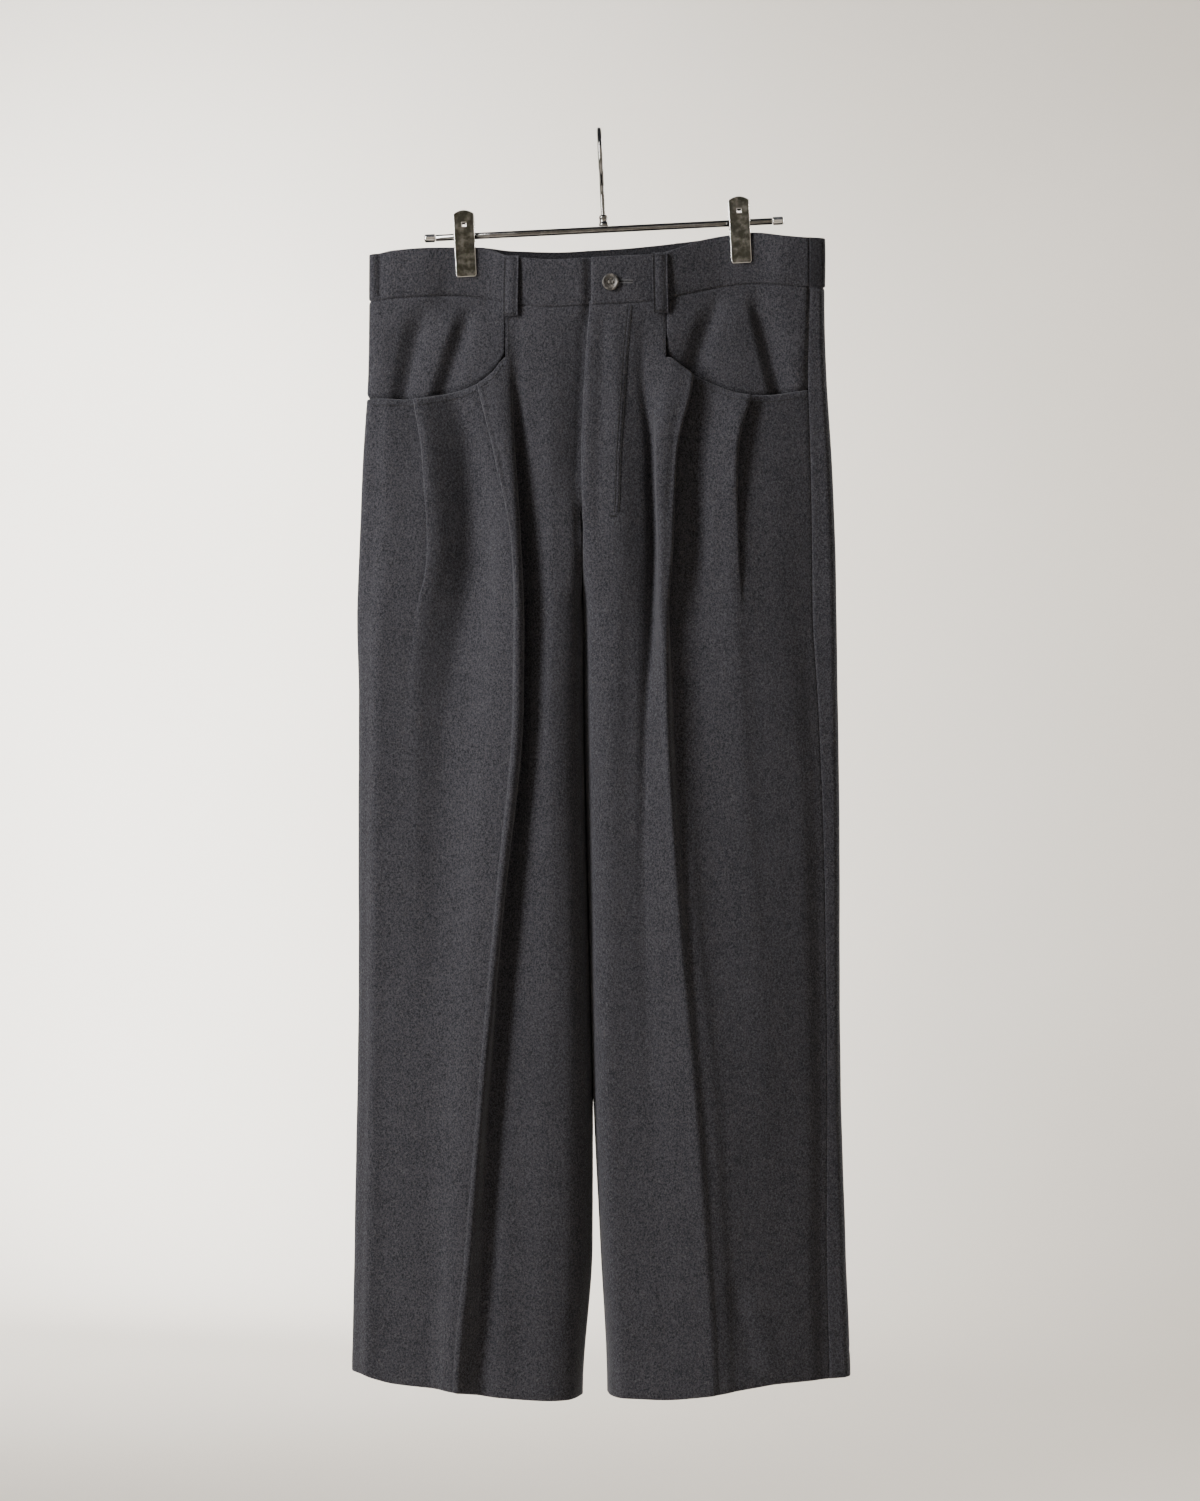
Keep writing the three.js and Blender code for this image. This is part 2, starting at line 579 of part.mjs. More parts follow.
// The hook seen from the side: a round crook over the support, then a neck down to the ferrule
function hangerHook() {
  const route = [];
  for (let angle = -25; angle <= 235; angle += 13) {
    const turn = THREE.MathUtils.degToRad(angle);
    const y = HOOK_RADIUS * Math.cos(turn);
    const z = HOOK_RADIUS * Math.sin(turn) - HOOK_RADIUS + WIRE / 2;
    route.push(new THREE.Vector3(0, y, z));
  }
  route.push(new THREE.Vector3(0, -6, -47.5), new THREE.Vector3(0, -1.5, -54));
  route.push(new THREE.Vector3(0, 0, -62), new THREE.Vector3(0, 0, -HOOK_END));
  const section = new THREE.Shape().absarc(0, 0, WIRE / 2, 0, 2 * Math.PI);
  const geometry = new THREE.ExtrudeGeometry(section, {
    steps: 40, curveSegments: 5, extrudePath: new THREE.CatmullRomCurve3(route),
  });
  return named("hanger_hook", geometry, DARK_METAL, 0.3, 1);
}

function hangerFerrule() {
  const top = -HOOK_END - 0.3;
  const bottom = -BAR_DOWN + BAR_DIAMETER / 2 + 0.3;
  const r = FERRULE_DIAMETER / 2;
  const profile = [[0, bottom], [r, bottom], [r, top - 1.5], [r - 1.2, top], [0, top]];
  const geometry = new THREE.LatheGeometry(profile.map(([a, b]) => new THREE.Vector2(a, b)), 16);
  geometry.rotateX(Math.PI / 2);
  return named("hanger_ferrule", geometry, DARK_METAL, 0.3, 1);
}

function alongBar(name, x, length, diameter, bevel, colour) {
  const r = diameter / 2;
  const half = length / 2;
  const profile = [[0, -half], [r - bevel, -half], [r, -half + bevel], [r, half - bevel], [r - bevel, half], [0, half]];
  const points = profile.map(([a, b]) => new THREE.Vector2(a, b));
  const mesh = named(name, new THREE.LatheGeometry(points, 16), colour, 0.25, 1);
  mesh.rotation.z = -Math.PI / 2;
  mesh.position.set(x, 0, -BAR_DOWN);
  return mesh;
}

// A tube round the bar, open at both ends
function clipBarrel(name, x) {
  const inner = BAR_DIAMETER / 2 + 0.35;
  const outer = BARREL_DIAMETER / 2;
  const half = 6.5;
  const loop = [[inner, -half], [outer, -half], [outer, half], [inner, half], [inner, -half]];
  const geometry = new THREE.LatheGeometry(loop.map(([a, b]) => new THREE.Vector2(a, b)), 16);
  const mesh = named(name, geometry, DARK_METAL, 0.3, 1);
  mesh.rotation.z = -Math.PI / 2;
  mesh.position.set(x, 0, -BAR_DOWN);
  return mesh;
}

// A clip plate stands against the barrel above and against the waistband below
function clipPlate(name, x, way) {
  const half = CLIP_WIDE / 2;
  const outline = new THREE.Shape();
  outline.moveTo(-half + 1, 0);
  outline.lineTo(half - 1, 0);
  outline.lineTo(half, 2);
  outline.lineTo(half, CLIP_TALL - 3);
  outline.quadraticCurveTo(0, CLIP_TALL + 3, -half, CLIP_TALL - 3);
  outline.lineTo(-half, 2);
  outline.closePath();
  const w = CLIP_WINDOW / 2;
  const middle = CLIP_TALL - 13;
  const window = new THREE.Path();
  window.moveTo(-w, middle - w);
  window.lineTo(-w, middle + w);
  window.lineTo(w, middle + w);
  window.lineTo(w, middle - w);
  window.closePath();
  outline.holes.push(window);
  const geometry = new THREE.ExtrudeGeometry(outline, {
    depth: CLIP_THICK, bevelEnabled: false, curveSegments: 6,
  });
  const plate = named(name, geometry, DARK_METAL, 0.2, 1);
  const jaw = PINCH + BAND_CLOTH / 2 + SEAM_GAP;
  const atBarrel = BARREL_DIAMETER / 2 + 0.3;
  const barrelUp = CLIP_TOP_DOWN + CLIP_TALL - BAR_DOWN;
  const lean = Math.atan2(atBarrel - jaw, barrelUp);
  geometry.translate(0, 0, way > 0 ? 0 : -CLIP_THICK);
  geometry.rotateX(Math.PI / 2 + way * lean);
  plate.position.set(x, -way * jaw, -CLIP_TOP_DOWN - CLIP_TALL);
  return plate;
}

function hanger() {
  const group = new THREE.Group();
  group.add(hangerHook(), hangerFerrule());
  group.add(alongBar("hanger_bar", 0, BAR_LENGTH - 2 * CAP_LENGTH - 0.6, BAR_DIAMETER, 0.5, DARK_METAL));
  const capAt = BAR_LENGTH / 2 - CAP_LENGTH / 2;
  group.add(alongBar("hanger_cap_right", -capAt, CAP_LENGTH, CAP_DIAMETER, 1.2, CHROME));
  group.add(alongBar("hanger_cap_left", capAt, CAP_LENGTH, CAP_DIAMETER, 1.2, CHROME));
  for (const [side, x] of Object.entries(CLIP_SPOTS)) {
    group.add(clipPlate(`clip_front_${side}`, x, 1), clipPlate(`clip_back_${side}`, x, -1));
    group.add(clipBarrel(`clip_barrel_${side}`, x));
  }
  group.rotation.y = -HANGER_ROLL;
  return group;
}

function trousers() {
  const group = new THREE.Group();
  group.add(frontLeg("right_front_leg", RIGHT_LEG, RIGHT_MOUTH, RIGHT_HEM));
  group.add(frontLeg("left_front_leg", LEFT_LEG, LEFT_MOUTH, LEFT_HEM));
  group.add(backLeg("right_back_leg", RIGHT_LEG, RIGHT_HEM));
  group.add(backLeg("left_back_leg", LEFT_LEG, LEFT_HEM));
  group.add(hipYoke("right_hip_yoke", RIGHT_LEG, RIGHT_MOUTH, RIGHT_YOKE));
  group.add(hipYoke("left_hip_yoke", LEFT_LEG, LEFT_MOUTH, LEFT_YOKE));
  group.add(...waistbands());
  for (const [side, x] of Object.entries(FRONT_LOOPS)) group.add(beltLoop(`${side}_front_loop`, x, true));
  for (const [side, x] of Object.entries(BACK_LOOPS)) group.add(beltLoop(`${side}_back_loop`, x, false));
  group.add(waistButton());
  return group;
}

const part = new THREE.Group();
part.add(trousers(), hanger());

export default part;
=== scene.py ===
# %% [markdown]
# Wide-leg wool trousers on a clip hanger.
# The solid model comes from model.glb: its frame has the origin at the inner top of the
# hanger's hook, +Z up, and the trousers' front faces -Y. This lesson dresses that frame.
# Each cloth piece is rebuilt as a thin shell on its solid's form, with more points, a turned
# hem and softer folds, and the hanger gets bevelled metal. Sides are the wearer's.

import json
import math

import bmesh
import bpy
import numpy as np
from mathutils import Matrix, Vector
from mathutils.bvhtree import BVHTree

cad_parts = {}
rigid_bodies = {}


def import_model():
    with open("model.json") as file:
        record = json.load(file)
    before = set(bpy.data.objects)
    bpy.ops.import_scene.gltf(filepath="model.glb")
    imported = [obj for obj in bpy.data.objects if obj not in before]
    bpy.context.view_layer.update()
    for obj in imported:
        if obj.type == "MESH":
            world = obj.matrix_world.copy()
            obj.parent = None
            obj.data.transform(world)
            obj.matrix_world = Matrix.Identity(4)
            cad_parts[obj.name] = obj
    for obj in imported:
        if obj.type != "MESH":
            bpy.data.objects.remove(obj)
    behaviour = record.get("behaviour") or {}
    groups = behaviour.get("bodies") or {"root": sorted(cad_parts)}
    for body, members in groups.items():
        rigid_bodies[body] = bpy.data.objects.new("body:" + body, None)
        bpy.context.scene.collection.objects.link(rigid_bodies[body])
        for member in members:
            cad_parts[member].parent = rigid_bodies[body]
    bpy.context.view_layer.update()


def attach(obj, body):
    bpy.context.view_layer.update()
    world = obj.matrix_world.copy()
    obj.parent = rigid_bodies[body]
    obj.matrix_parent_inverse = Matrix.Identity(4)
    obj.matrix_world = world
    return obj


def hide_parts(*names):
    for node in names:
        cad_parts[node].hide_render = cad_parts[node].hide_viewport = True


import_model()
MM = 0.001

# %% [markdown]
# The photograph is taken level, from a little over three metres, so the legs show almost no
# perspective. The long side of the picture spans 1351 mm at the trousers, and that with the
# distance gives the lens. The camera looks at the trousers' middle and not at the hook.

# %% Camera
CAMERA_AWAY = 3.2
VIEW_TALL = 1.3509
VIEW_MIDDLE = (0.0009, -0.5566)

lens = bpy.data.cameras.new("portrait_lens")
lens.sensor_fit = "VERTICAL"
lens.sensor_width = lens.sensor_height = 36
lens.lens = 36 * CAMERA_AWAY / VIEW_TALL
camera = bpy.data.objects.new("camera", lens)
camera.location = (VIEW_MIDDLE[0], -CAMERA_AWAY, VIEW_MIDDLE[1])
camera.rotation_euler = (math.pi / 2, 0, 0)
bpy.context.scene.collection.objects.link(camera)
bpy.context.scene.camera = camera
print("lens in mm:", round(lens.lens, 1))

# %% [markdown]
# The studio is one large bowl: a flat pale floor that curves up into a wall all the way
# round. A flat backdrop would do for one view, but it would stand in front of the camera as
# soon as the object is seen from behind. A tall, narrow area light stands to the left in front,
# like a window. It comes from far enough to the side to make the folds read, and a weak lamp in
# front and the sky over the open bowl fill the shadows. Two lamps brighten the wall on the left,
# one the floor, and one rakes over the back. None of them shows to the camera.

# %% Studio bowl and lights
FLOOR_DOWN = 1.62
BOWL_RADIUS = 5.2
BOWL_CURVE = 1.6
BOWL_TOP = 3.4


def mesh_object(name, points, faces, smooth=True):
    mesh = bpy.data.meshes.new(name)
    mesh.from_pydata([tuple(p) for p in points], [], faces)
    mesh.update()
    mesh.polygons.foreach_set("use_smooth", [smooth] * len(mesh.polygons))
    piece = bpy.data.objects.new(name, mesh)
    bpy.context.scene.collection.objects.link(piece)
    return piece


def turned(name, profile, around=48, smooth=True):
    """A shape turned round +Z from (radius, height) points; a radius of 0 closes it."""
    points, faces = [], []
    for radius, height in profile:
        for k in range(around):
            turn = 2 * math.pi * k / around
            points.append((radius * math.cos(turn), radius * math.sin(turn), height))
    for j in range(len(profile) - 1):
        for k in range(around):
            a, b = j * around + k, j * around + (k + 1) % around
            faces.append((a, b, b + around, a + around))
    piece = mesh_object(name, points, faces, smooth)
    tidy = bmesh.new()
    tidy.from_mesh(piece.data)
    bmesh.ops.remove_doubles(tidy, verts=tidy.verts, dist=1e-6)
    bmesh.ops.dissolve_degenerate(tidy, edges=tidy.edges, dist=1e-7)
    bmesh.ops.recalc_face_normals(tidy, faces=tidy.faces)
    tidy.to_mesh(piece.data)
    tidy.free()
    return piece


curve = [(0.5 * math.pi * k / 12) for k in range(13)]
bowl_profile = [(0, -FLOOR_DOWN), (1.5, -FLOOR_DOWN), (BOWL_RADIUS - BOWL_CURVE, -FLOOR_DOWN)]
bowl_profile += [
    (BOWL_RADIUS - BOWL_CURVE + BOWL_CURVE * math.sin(t), -FLOOR_DOWN + BOWL_CURVE * (1 - math.cos(t)))
    for t in curve[1:]
]
bowl_profile.append((BOWL_RADIUS, BOWL_TOP))
bowl = turned("studio_bowl", bowl_profile, 96)


def area_light(name, place, aim, size, power, colour):
    light = bpy.data.lights.new(name, "AREA")
    light.shape = "RECTANGLE"
    light.size, light.size_y = size
    light.energy = power
    light.color = colour
    lamp = bpy.data.objects.new(name, light)
    lamp.location = place
    lamp.rotation_euler = (Vector(aim) - Vector(place)).to_track_quat("-Z", "Y").to_euler()
    lamp.visible_camera = False
    bpy.context.scene.collection.objects.link(lamp)
    return lamp


WARM, COOL = (1.0, 0.985, 0.97), (0.97, 0.985, 1.0)
window = area_light("window", (-1.65, -1.15, 0.3), (0, 0, -0.5), (0.5, 2.2), 101, WARM)
fill = area_light("fill", (1.2, -3.4, 0.6), (0, 0, -0.6), (1.6, 1.6), 3, (0.95, 0.97, 1.0))
wall_wash = area_light("wall_wash", (-2.7, 3.0, 0.9), (-1.5, 5.2, -0.8), (1.4, 1.8), 112, COOL)
wall_glow = area_light("wall_glow", (-1.0, 3.7, 0.1), (-0.5, 5.2, -0.25), (0.9, 1.8), 95, (0.95, 0.975, 1.0))
floor_wash = area_light("floor_wash", (-0.9, 2.9, -0.2), (-0.3, 4.3, -1.7), (1.8, 0.9), 38, COOL)
back_soft = area_light("back_soft", (2.2, 1.5, 0.4), (0, 0, -0.6), (0.4, 1.8), 70, (1.0, 0.99, 0.97))

world = bpy.data.worlds.new("soft_sky")
bpy.context.scene.world = world
world.use_nodes = True
sky = world.node_tree.nodes["Background"]
sky.inputs["Color"].default_value = (0.9, 0.93, 1.0, 1)
sky.inputs["Strength"].default_value = 0.12
print("lights:", window.name, fill.name, wall_wash.name, wall_glow.name, floor_wash.name, back_soft.name)

# %% [markdown]
# Materials are sums over patterns, such as fibre = 0.6 * fine + 0.4 * coarse. Wired by hand,
# each sum is several Math nodes. A small class that wraps a socket and knows + and * lets
# Python place those nodes, so that a material reads as its own formula.


# %% Shader maths
class Wire:
    """One socket of a material, on which Python's operators add Math nodes."""

    def __init__(self, shader, socket):
        self.shader, self.socket = shader, socket

    def math(self, operation, *others, **settings):
        values = dict(enumerate([self, *others]))
        return self.shader.node("ShaderNodeMath", {"operation": operation, **settings}, values)

    def __add__(self, other):
        return self.math("ADD", other)

    def __sub__(self, other):
        return self.math("SUBTRACT", other)

    def __rsub__(self, other):
        return self.shader.node("ShaderNodeMath", {"operation": "SUBTRACT"}, {0: other, 1: self})

    def __mul__(self, other):
        return self.math("MULTIPLY", other)

    def above(self, low, high):
        """0 below low, 1 above high, and smooth between."""
        values = {"Value": self, "From Min": low, "From Max": high}
        return self.shader.node("ShaderNodeMapRange", {"interpolation_type": "SMOOTHSTEP"}, values)

    __radd__ = __add__
    __rmul__ = __mul__


class Shader:
    """A new material with its Principled node, and one method that adds any other node."""

    def __init__(self, name):
        self.material = bpy.data.materials.new(name)
        self.material.use_nodes = True
        self.tree = self.material.node_tree
        self.surface = self.tree.nodes["Principled BSDF"]

    def put(self, socket, value):
        if isinstance(value, Wire):
            self.tree.links.new(value.socket, socket)
        elif isinstance(value, (tuple, list)) and socket.type == "RGBA":
            socket.default_value = (*value[:3], 1)
        else:
            socket.default_value = value

    def node(self, kind, settings=None, values=None, output=0):
        made = self.tree.nodes.new(kind)
        for name, value in (settings or {}).items():
            setattr(made, name, value)
        for name, value in (values or {}).items():
            self.put(made.inputs[name], value)
        return Wire(self, made.outputs[output])

    def place(self, scale=(1, 1, 1), turn=(0, 0, 0)):
        """The place of a point on the piece, in metres, turned and stretched."""
        place = self.node("ShaderNodeTexCoord", output="Object")
        return self.node("ShaderNodeMapping", None, {"Vector": place, "Scale": scale, "Rotation": turn})

    def noise(self, size, detail=2.0, vector=None, rough=0.5):
        """Noise with features of that size in metres."""
        values = {"Vector": vector or self.place(), "Scale": 1 / size, "Detail": detail, "Roughness": rough}
        return self.node("ShaderNodeTexNoise", None, values)

    def blend(self, share, low, high):
        """A colour between two colours, by a share from 0 to 1."""
        made = self.tree.nodes.new("ShaderNodeMix")
        made.data_type = "RGBA"
        self.put(made.inputs["Factor"], share)
        self.put(made.inputs[6], low)
        self.put(made.inputs[7], high)
        return Wire(self, made.outputs[2])

    def bump(self, height, strength, distance):
        values = {"Height": height, "Strength": strength, "Distance": distance}
        self.put(self.surface.inputs["Normal"], self.node("ShaderNodeBump", None, values))

    def finish(self, **values):
        for name, value in values.items():
            self.put(self.surface.inputs[name.replace("_", " ")], value)
        return self.material


# %% [markdown]
# The floor and wall are plain painted board, warm and pale. A large soft noise keeps them from
# looking like a flat fill.

# %% Studio paint
paint = Shader("studio_paint")
cloudy = paint.noise(1.4, 2).above(0.35, 0.7)
bowl.data.materials.append(
    paint.finish(
        Base_Color=paint.blend(cloudy, (0.70, 0.650, 0.578), (0.74, 0.690, 0.618)),
        Roughness=0.85,
    )
)

# %% [markdown]
# The cloth is a brushed wool: dark blue-grey, with paler fibres caught in the nap so that it
# looks mottled from close by and flat from far away. A picture of cloth would be the quick
# way, but a pattern built from noise has no seams between the pieces and no edge to repeat.
# Fine noise makes the fibres, a noise stretched along the warp makes the twill show through,
# and a coarse one shades larger patches. Sheen lifts the edges, where the nap stands up.


# %% Wool
def wool(name, lift=1.0):
    made = Shader(name)
    fibre = made.noise(0.0010, 2, rough=0.6)
    warp = made.noise(0.0015, 2, made.place((1.0, 1.0, 0.7), (0, math.radians(24), 0)))
    patch = made.noise(0.022, 3)
    flecks = made.noise(0.0016, 1).above(0.56, 0.72)
    grain = 0.55 * fibre + 0.45 * warp
    tone = (grain + 0.08 * patch).above(0.38, 0.70)
    # A lift below 1 gives a darker copy of the wool, a painted shade for faces that little light reaches.
    dark = (0.0088 * lift, 0.0089 * lift, 0.0118 * lift)
    pale = (0.0455 * lift, 0.0450 * lift, 0.0530 * lift)
    fleck = (0.098 * lift, 0.098 * lift, 0.104 * lift)
    base = made.blend(0.25 * flecks, made.blend(tone, dark, pale), fleck)
    made.bump(grain + 0.5 * flecks, 0.55, 0.0009)
    made.finish(
        Base_Color=base,
        Roughness=0.93,
        Sheen_Weight=0.14,
        Sheen_Roughness=0.55,
        Sheen_Tint=(0.62, 0.64, 0.70),
    )
    made.surface.inputs["Specular IOR Level"].default_value = 0.12
    return made.material


nap = wool("brushed_wool")
# A darker copy of the wool: painted shade for the band's inward faces.
painted_shade_nap = wool("brushed_wool_painted_shade", 0.6)
print("wool materials:", nap.name, painted_shade_nap.name)

# %% [markdown]
# The form of each leg is a table. A row follows one line of the cloth down the leg, such as
# the edge of a pleat, at ten heights. "out" is the distance outward from the middle, "front"
# the distance towards -Y and "down" the distance below the hook, all in millimetres. These are
# the values of the solid model, so the shell lies where the solid lies.

# %% Tables of the legs
HEIGHTS = [150, 215, 290, 380, 435, 515, 690, 865, 1000, 1135]
CROTCH = 426

RIGHT_LEG = {
    "side": -1,
    "edge_out": [206, 207, 211.5, 215, 217, 215.5, 215.5, 217, 219, 222],
    "seam_out": [203, 204, 208.5, 212, 214, 212.5, 212.5, 214, 216, 219],
    "seam_front": [-4, -4, -5, -5, -5, -5, -5, -5, -5, -5],
    "field_front": [6, 9, 12, 15, 17, 17, 18, 18, 18, 18],
    "pleat_out": [170, 170, 159, 154, 163, 170, 172, 174, 176, 178],
    "pleat_low": [7, 9, 13, 18, 19, 18, 20, 21, 21, 21],
    "pleat_high": [9, 16, 21, 22.5, 20, 19.5, 22, 23, 23.5, 23.5],
    "pleat_lap": [8, 8, 8, 3, 0, 0, 0, 0, 0, 0],
    "pleat_wide": [4, 4, 4, 4, 6, 10, 16, 16, 16, 16],
    "dip_out": [136, 134, 115, 112, 120, 136, 145, 150, 150, 150],
    "dip_front": [8, 9, 5, 6, 9, 15, 22, 25, 26, 26],
    "fold_out": [112, 110, 94, 77.5, 75, 75.5, 91, 107, 118, 129],
    "fold_low": [8, 11, 15, 27, 33, 38, 41, 42, 40, 38],
    "fold_high": [8.6, 17, 28, 35, 38, 42, 44, 44, 42, 40],
    "fold_lap": [8, 8, 7, 1, 0, 0, 0, 0, 0, 0],
    "fold_wide": [4, 4, 4, 4, 4, 4, 4, 4, 4, 4],
    "strip": [28, 26.5, 14, 3, 1, 1, 1, 1, 1, 1],
    "slit_wide": [9, 9, 6, 6, 6, 6, 6, 7, 11, 17],
    "slit_front": [9.2, 13, 11, 11, 12, 18, 22, 25, 26, 26],
    "slit_lap": [0, 0, 3, 4, 4, 3, 2, 0, 0, 0],
    "crest_out": [43, 43, 43, 42, 42, 43, 43, 44, 46, 50],
    "crest_front": [13.6, 16, 20, 22, 24, 30, 34, 34, 33, 32],
    "end_out": [17, 17, 17, 17, 14.6, 14.2, 10.5, 6.0, 6.4, 15.2],
    "end_front": [1, 1, 1, 1, 1, 1, 1, 1, 1, 2],
    "back_outer": [6, 10, 13, 15, 16, 17, 17, 17, 17, 17],
    "back_crease": [4.2, 13, 22, 26, 28, 30, 31, 31, 30, 29],
    "back_inner": [11.5, 17, 22, 24, 24, 26, 27, 27, 26, 25],
}
LEFT_LEG = {
    "side": 1,
    "edge_out": [202.5, 204, 208.5, 212.5, 213.7, 214.6, 216, 217, 221, 226],
    "seam_out": [189, 188, 190, 191.7, 192.3, 197, 203, 205, 204.5, 207],
    "seam_front": [5, 4, 3, 3, 4, 5, 6, 7, 7, 7],
    "field_front": [6.5, 7, 8, 9, 10, 12, 13, 13.5, 13.5, 14],
    "pleat_out": [141, 141, 124, 125, 130, 138, 150, 160, 160, 162],
    "pleat_low": [6, 9, 13, 18, 18, 18, 20, 20, 20, 20],
    "pleat_high": [7, 16, 21, 22.5, 20.5, 21, 24.5, 25.5, 25, 25],
    "pleat_lap": [8, 8, 8, 3, 0, 0, 0, 0, 0, 0],
    "pleat_wide": [4, 4, 4, 5, 12, 18, 20, 20, 20, 20],
    "dip_out": [106, 106, 95, 88, 88, 92, 100, 118, 124, 128],
    "dip_front": [5, 11, 13, 14, 15, 18, 26.5, 31, 30.5, 30],
    "fold_out": [84.5, 84.5, 70, 65, 61, 62, 71.5, 86.5, 96, 102.8],
    "fold_low": [8, 12, 17, 19, 19, 22, 33, 38, 38, 36.5],
    "fold_high": [12, 20, 30, 33, 30, 35, 40, 43, 42, 40],
    "fold_lap": [8, 8, 7, 5, 1, 0, 0, 0, 0, 0],
    "fold_wide": [4, 4, 4, 5, 6, 7, 8, 8, 8, 8],
    "strip": [24.5, 24.5, 17, 9, 5, 3, 1, 1, 1, 1],
    "slit_wide": [20, 20, 5, 6, 7, 15, 28, 38, 45, 50],
    "slit_front": [15.2, 15, 13, 12, 13, 22, 29, 34, 35.5, 36],
    "slit_lap": [0, 0, 1, 1, 0, 0, 0, 0, 0, 0],
    "crest_out": [14, 15, 21, 21, 18, 16, 13, 12, 16, 25],
    "crest_front": [18, 21, 24, 25, 24, 28, 30, 32, 33, 33],
    "end_out": [-11, -11, -11, -11, -13.2, -12.8, -9.1, -4.6, 1.9, 8.1],
    "end_front": [1, 1, 1, 1, 1, 1, 1, 1, 1, 1],
    "back_outer": [6, 10, 13, 15, 16, 17, 17, 17, 17, 17],
    "back_crease": [4.2, 13, 22, 26, 28, 30, 31, 31, 30, 29],
    "back_inner": [11.5, 17, 22, 24, 24, 26, 27, 27, 26, 25],
}

RIGHT_MOUTH = {
    "out": [83.7, 92.3, 109, 131.4, 146.7, 166.8, 200.7, 209],
    "down": [206, 217, 230, 238, 241, 244, 243, 243],
}
LEFT_MOUTH = {
    "out": [60.5, 75.6, 85.2, 103.5, 122.4, 136.4, 153, 169.2, 189.5],
    "down": [206, 215.4, 222.4, 231, 238, 240.2, 239.9, 237.9, 235],
}
RIGHT_HEM = {"out": [12, 27, 96, 130, 185, 223], "down": [1134, 1135, 1132, 1126, 1121, 1113]}
LEFT_HEM = {"out": [8, 56, 102, 137, 161, 206, 226], "down": [1132, 1133, 1129, 1124, 1121, 1119, 1118]}

CENTRE_FRONT = {
    "down": [150, 215, 290, 360, 405, 430],
    "x": [-7, -12, -15, -14, -14, -14],
    "front": [17, 17.5, 19, 18, 11, 1],
}
UNDERLAP = {"down": [290, 318, 345, 372], "wide": [16, 8, -0.9, 0], "depth": [4.6, 4.4, 3, 0]}
CENTRE_BACK = {"down": [150, 215, 330, 405, 430], "x": [-4, -6, -12, -14, -14], "back": [13, 20, 25, 14, 0]}

BAND_X = [-206, -185, -160, -132, -106, -80, -40, -7, 25, 50, 70, 90, 114, 141, 165, 185, 202.5]
BAND = {
    "top": [110, 107, 105, 104, 104, 112.5, 116, 114.5, 112.8, 111.3, 106, 98.5, 93.5, 90.6, 93.5, 95, 95.3],
    "bottom": [
        152, 150, 148.5, 147, 149, 155, 159, 157, 155.7, 153.5, 148.5, 144, 138.8, 136.4, 138, 139.5, 140
    ],
    "back_top": [
        110, 107, 105, 104, 103.4, 105.6, 106.3, 104.6, 102.7, 100.5, 98.5, 96.4, 93.5, 90.6, 93.5, 95, 95.3
    ],
    "back_bottom": [
        152, 150, 148.5, 147, 149, 151.5, 151, 148.5, 147.5, 145, 142.8, 141, 138.8, 136.4, 138, 139.5, 140
    ],
    "front": [0, 6, 7.5, 3.4, 3.4, 9, 14, 16, 16, 14, 11, 7, 3.4, 3.4, 7, 5.5, 0],
    "back": [0, 6, 7.5, 3.4, 3.4, 8, 12, 13.5, 13, 12, 10, 7, 3.4, 3.4, 7.5, 6, 0],
}

# %% [markdown]
# A smooth curve through a column of values must not swing past them, or a pleat would bulge
# where the table says it is straight. The slope at each stop is therefore the harmonic mean
# of its two neighbours, and 0 at a peak.


# %% Smooth values between the stops
def follow(stops, values, at):
    stops, values = np.asarray(stops, float), np.asarray(values, float)
    rise = np.diff(values) / np.diff(stops)
    slope = np.zeros(len(values))
    turns = rise[:-1] * rise[1:] <= 0
    slope[1:-1] = np.where(turns, 0, 2 * rise[:-1] * rise[1:] / np.where(turns, 1, rise[:-1] + rise[1:]))
    at = np.clip(at, stops[0], stops[-1])
    k = np.clip(np.searchsorted(stops, at, side="left") - 1, 0, len(stops) - 2)
    span = stops[k + 1] - stops[k]
    s = (at - stops[k]) / span
    value = values[k] * (1 + 2 * s) * (1 - s) ** 2 + values[k + 1] * s * s * (3 - 2 * s)
    return value + span * (slope[k] * s * (1 - s) ** 2 + slope[k + 1] * s * s * (s - 1))


def ease(t):
    t = np.clip(t, 0, 1)
    return t * t * (3 - 2 * t)


def band_line(row, x):
    return follow(BAND_X, BAND[row], x)


def mix(a, b, t):
    return a + (b - a) * t


def parted(down):
    """0 on the joined trunk, 1 on the parted legs."""
    return ease((down - CROTCH + 8) / 30)


# %% [markdown]
# Seen from above, a leg is a line of stations: the side seam, the pleat, the deep fold, the
# slit and the rounded inner side. Each station here is a whole column at once, for every
# height, so that numpy works out the leg in one pass. A fold whose lap is above 0 doubles
# back over itself, which a plain height field could not do.

# %% The front and back of a leg, seen from above
LEVEL_STEP = 2.5
LEVELS = np.arange(85, 1147.5, LEVEL_STEP)
STEP_STOPS = np.array([0, 0.14, 0.28, 0.5, 0.72, 0.86, 1])
FOLD_WIDE = 5


def columns_of(leg):
    return {name: follow(HEIGHTS, row, LEVELS) for name, row in leg.items() if name != "side"}


def between(a, b, count, shape=ease):
    stops = [(i + 1) / (count + 1) for i in range(count)]
    return [(mix(a[0], b[0], t), mix(a[1], b[1], shape(t))) for t in stops]


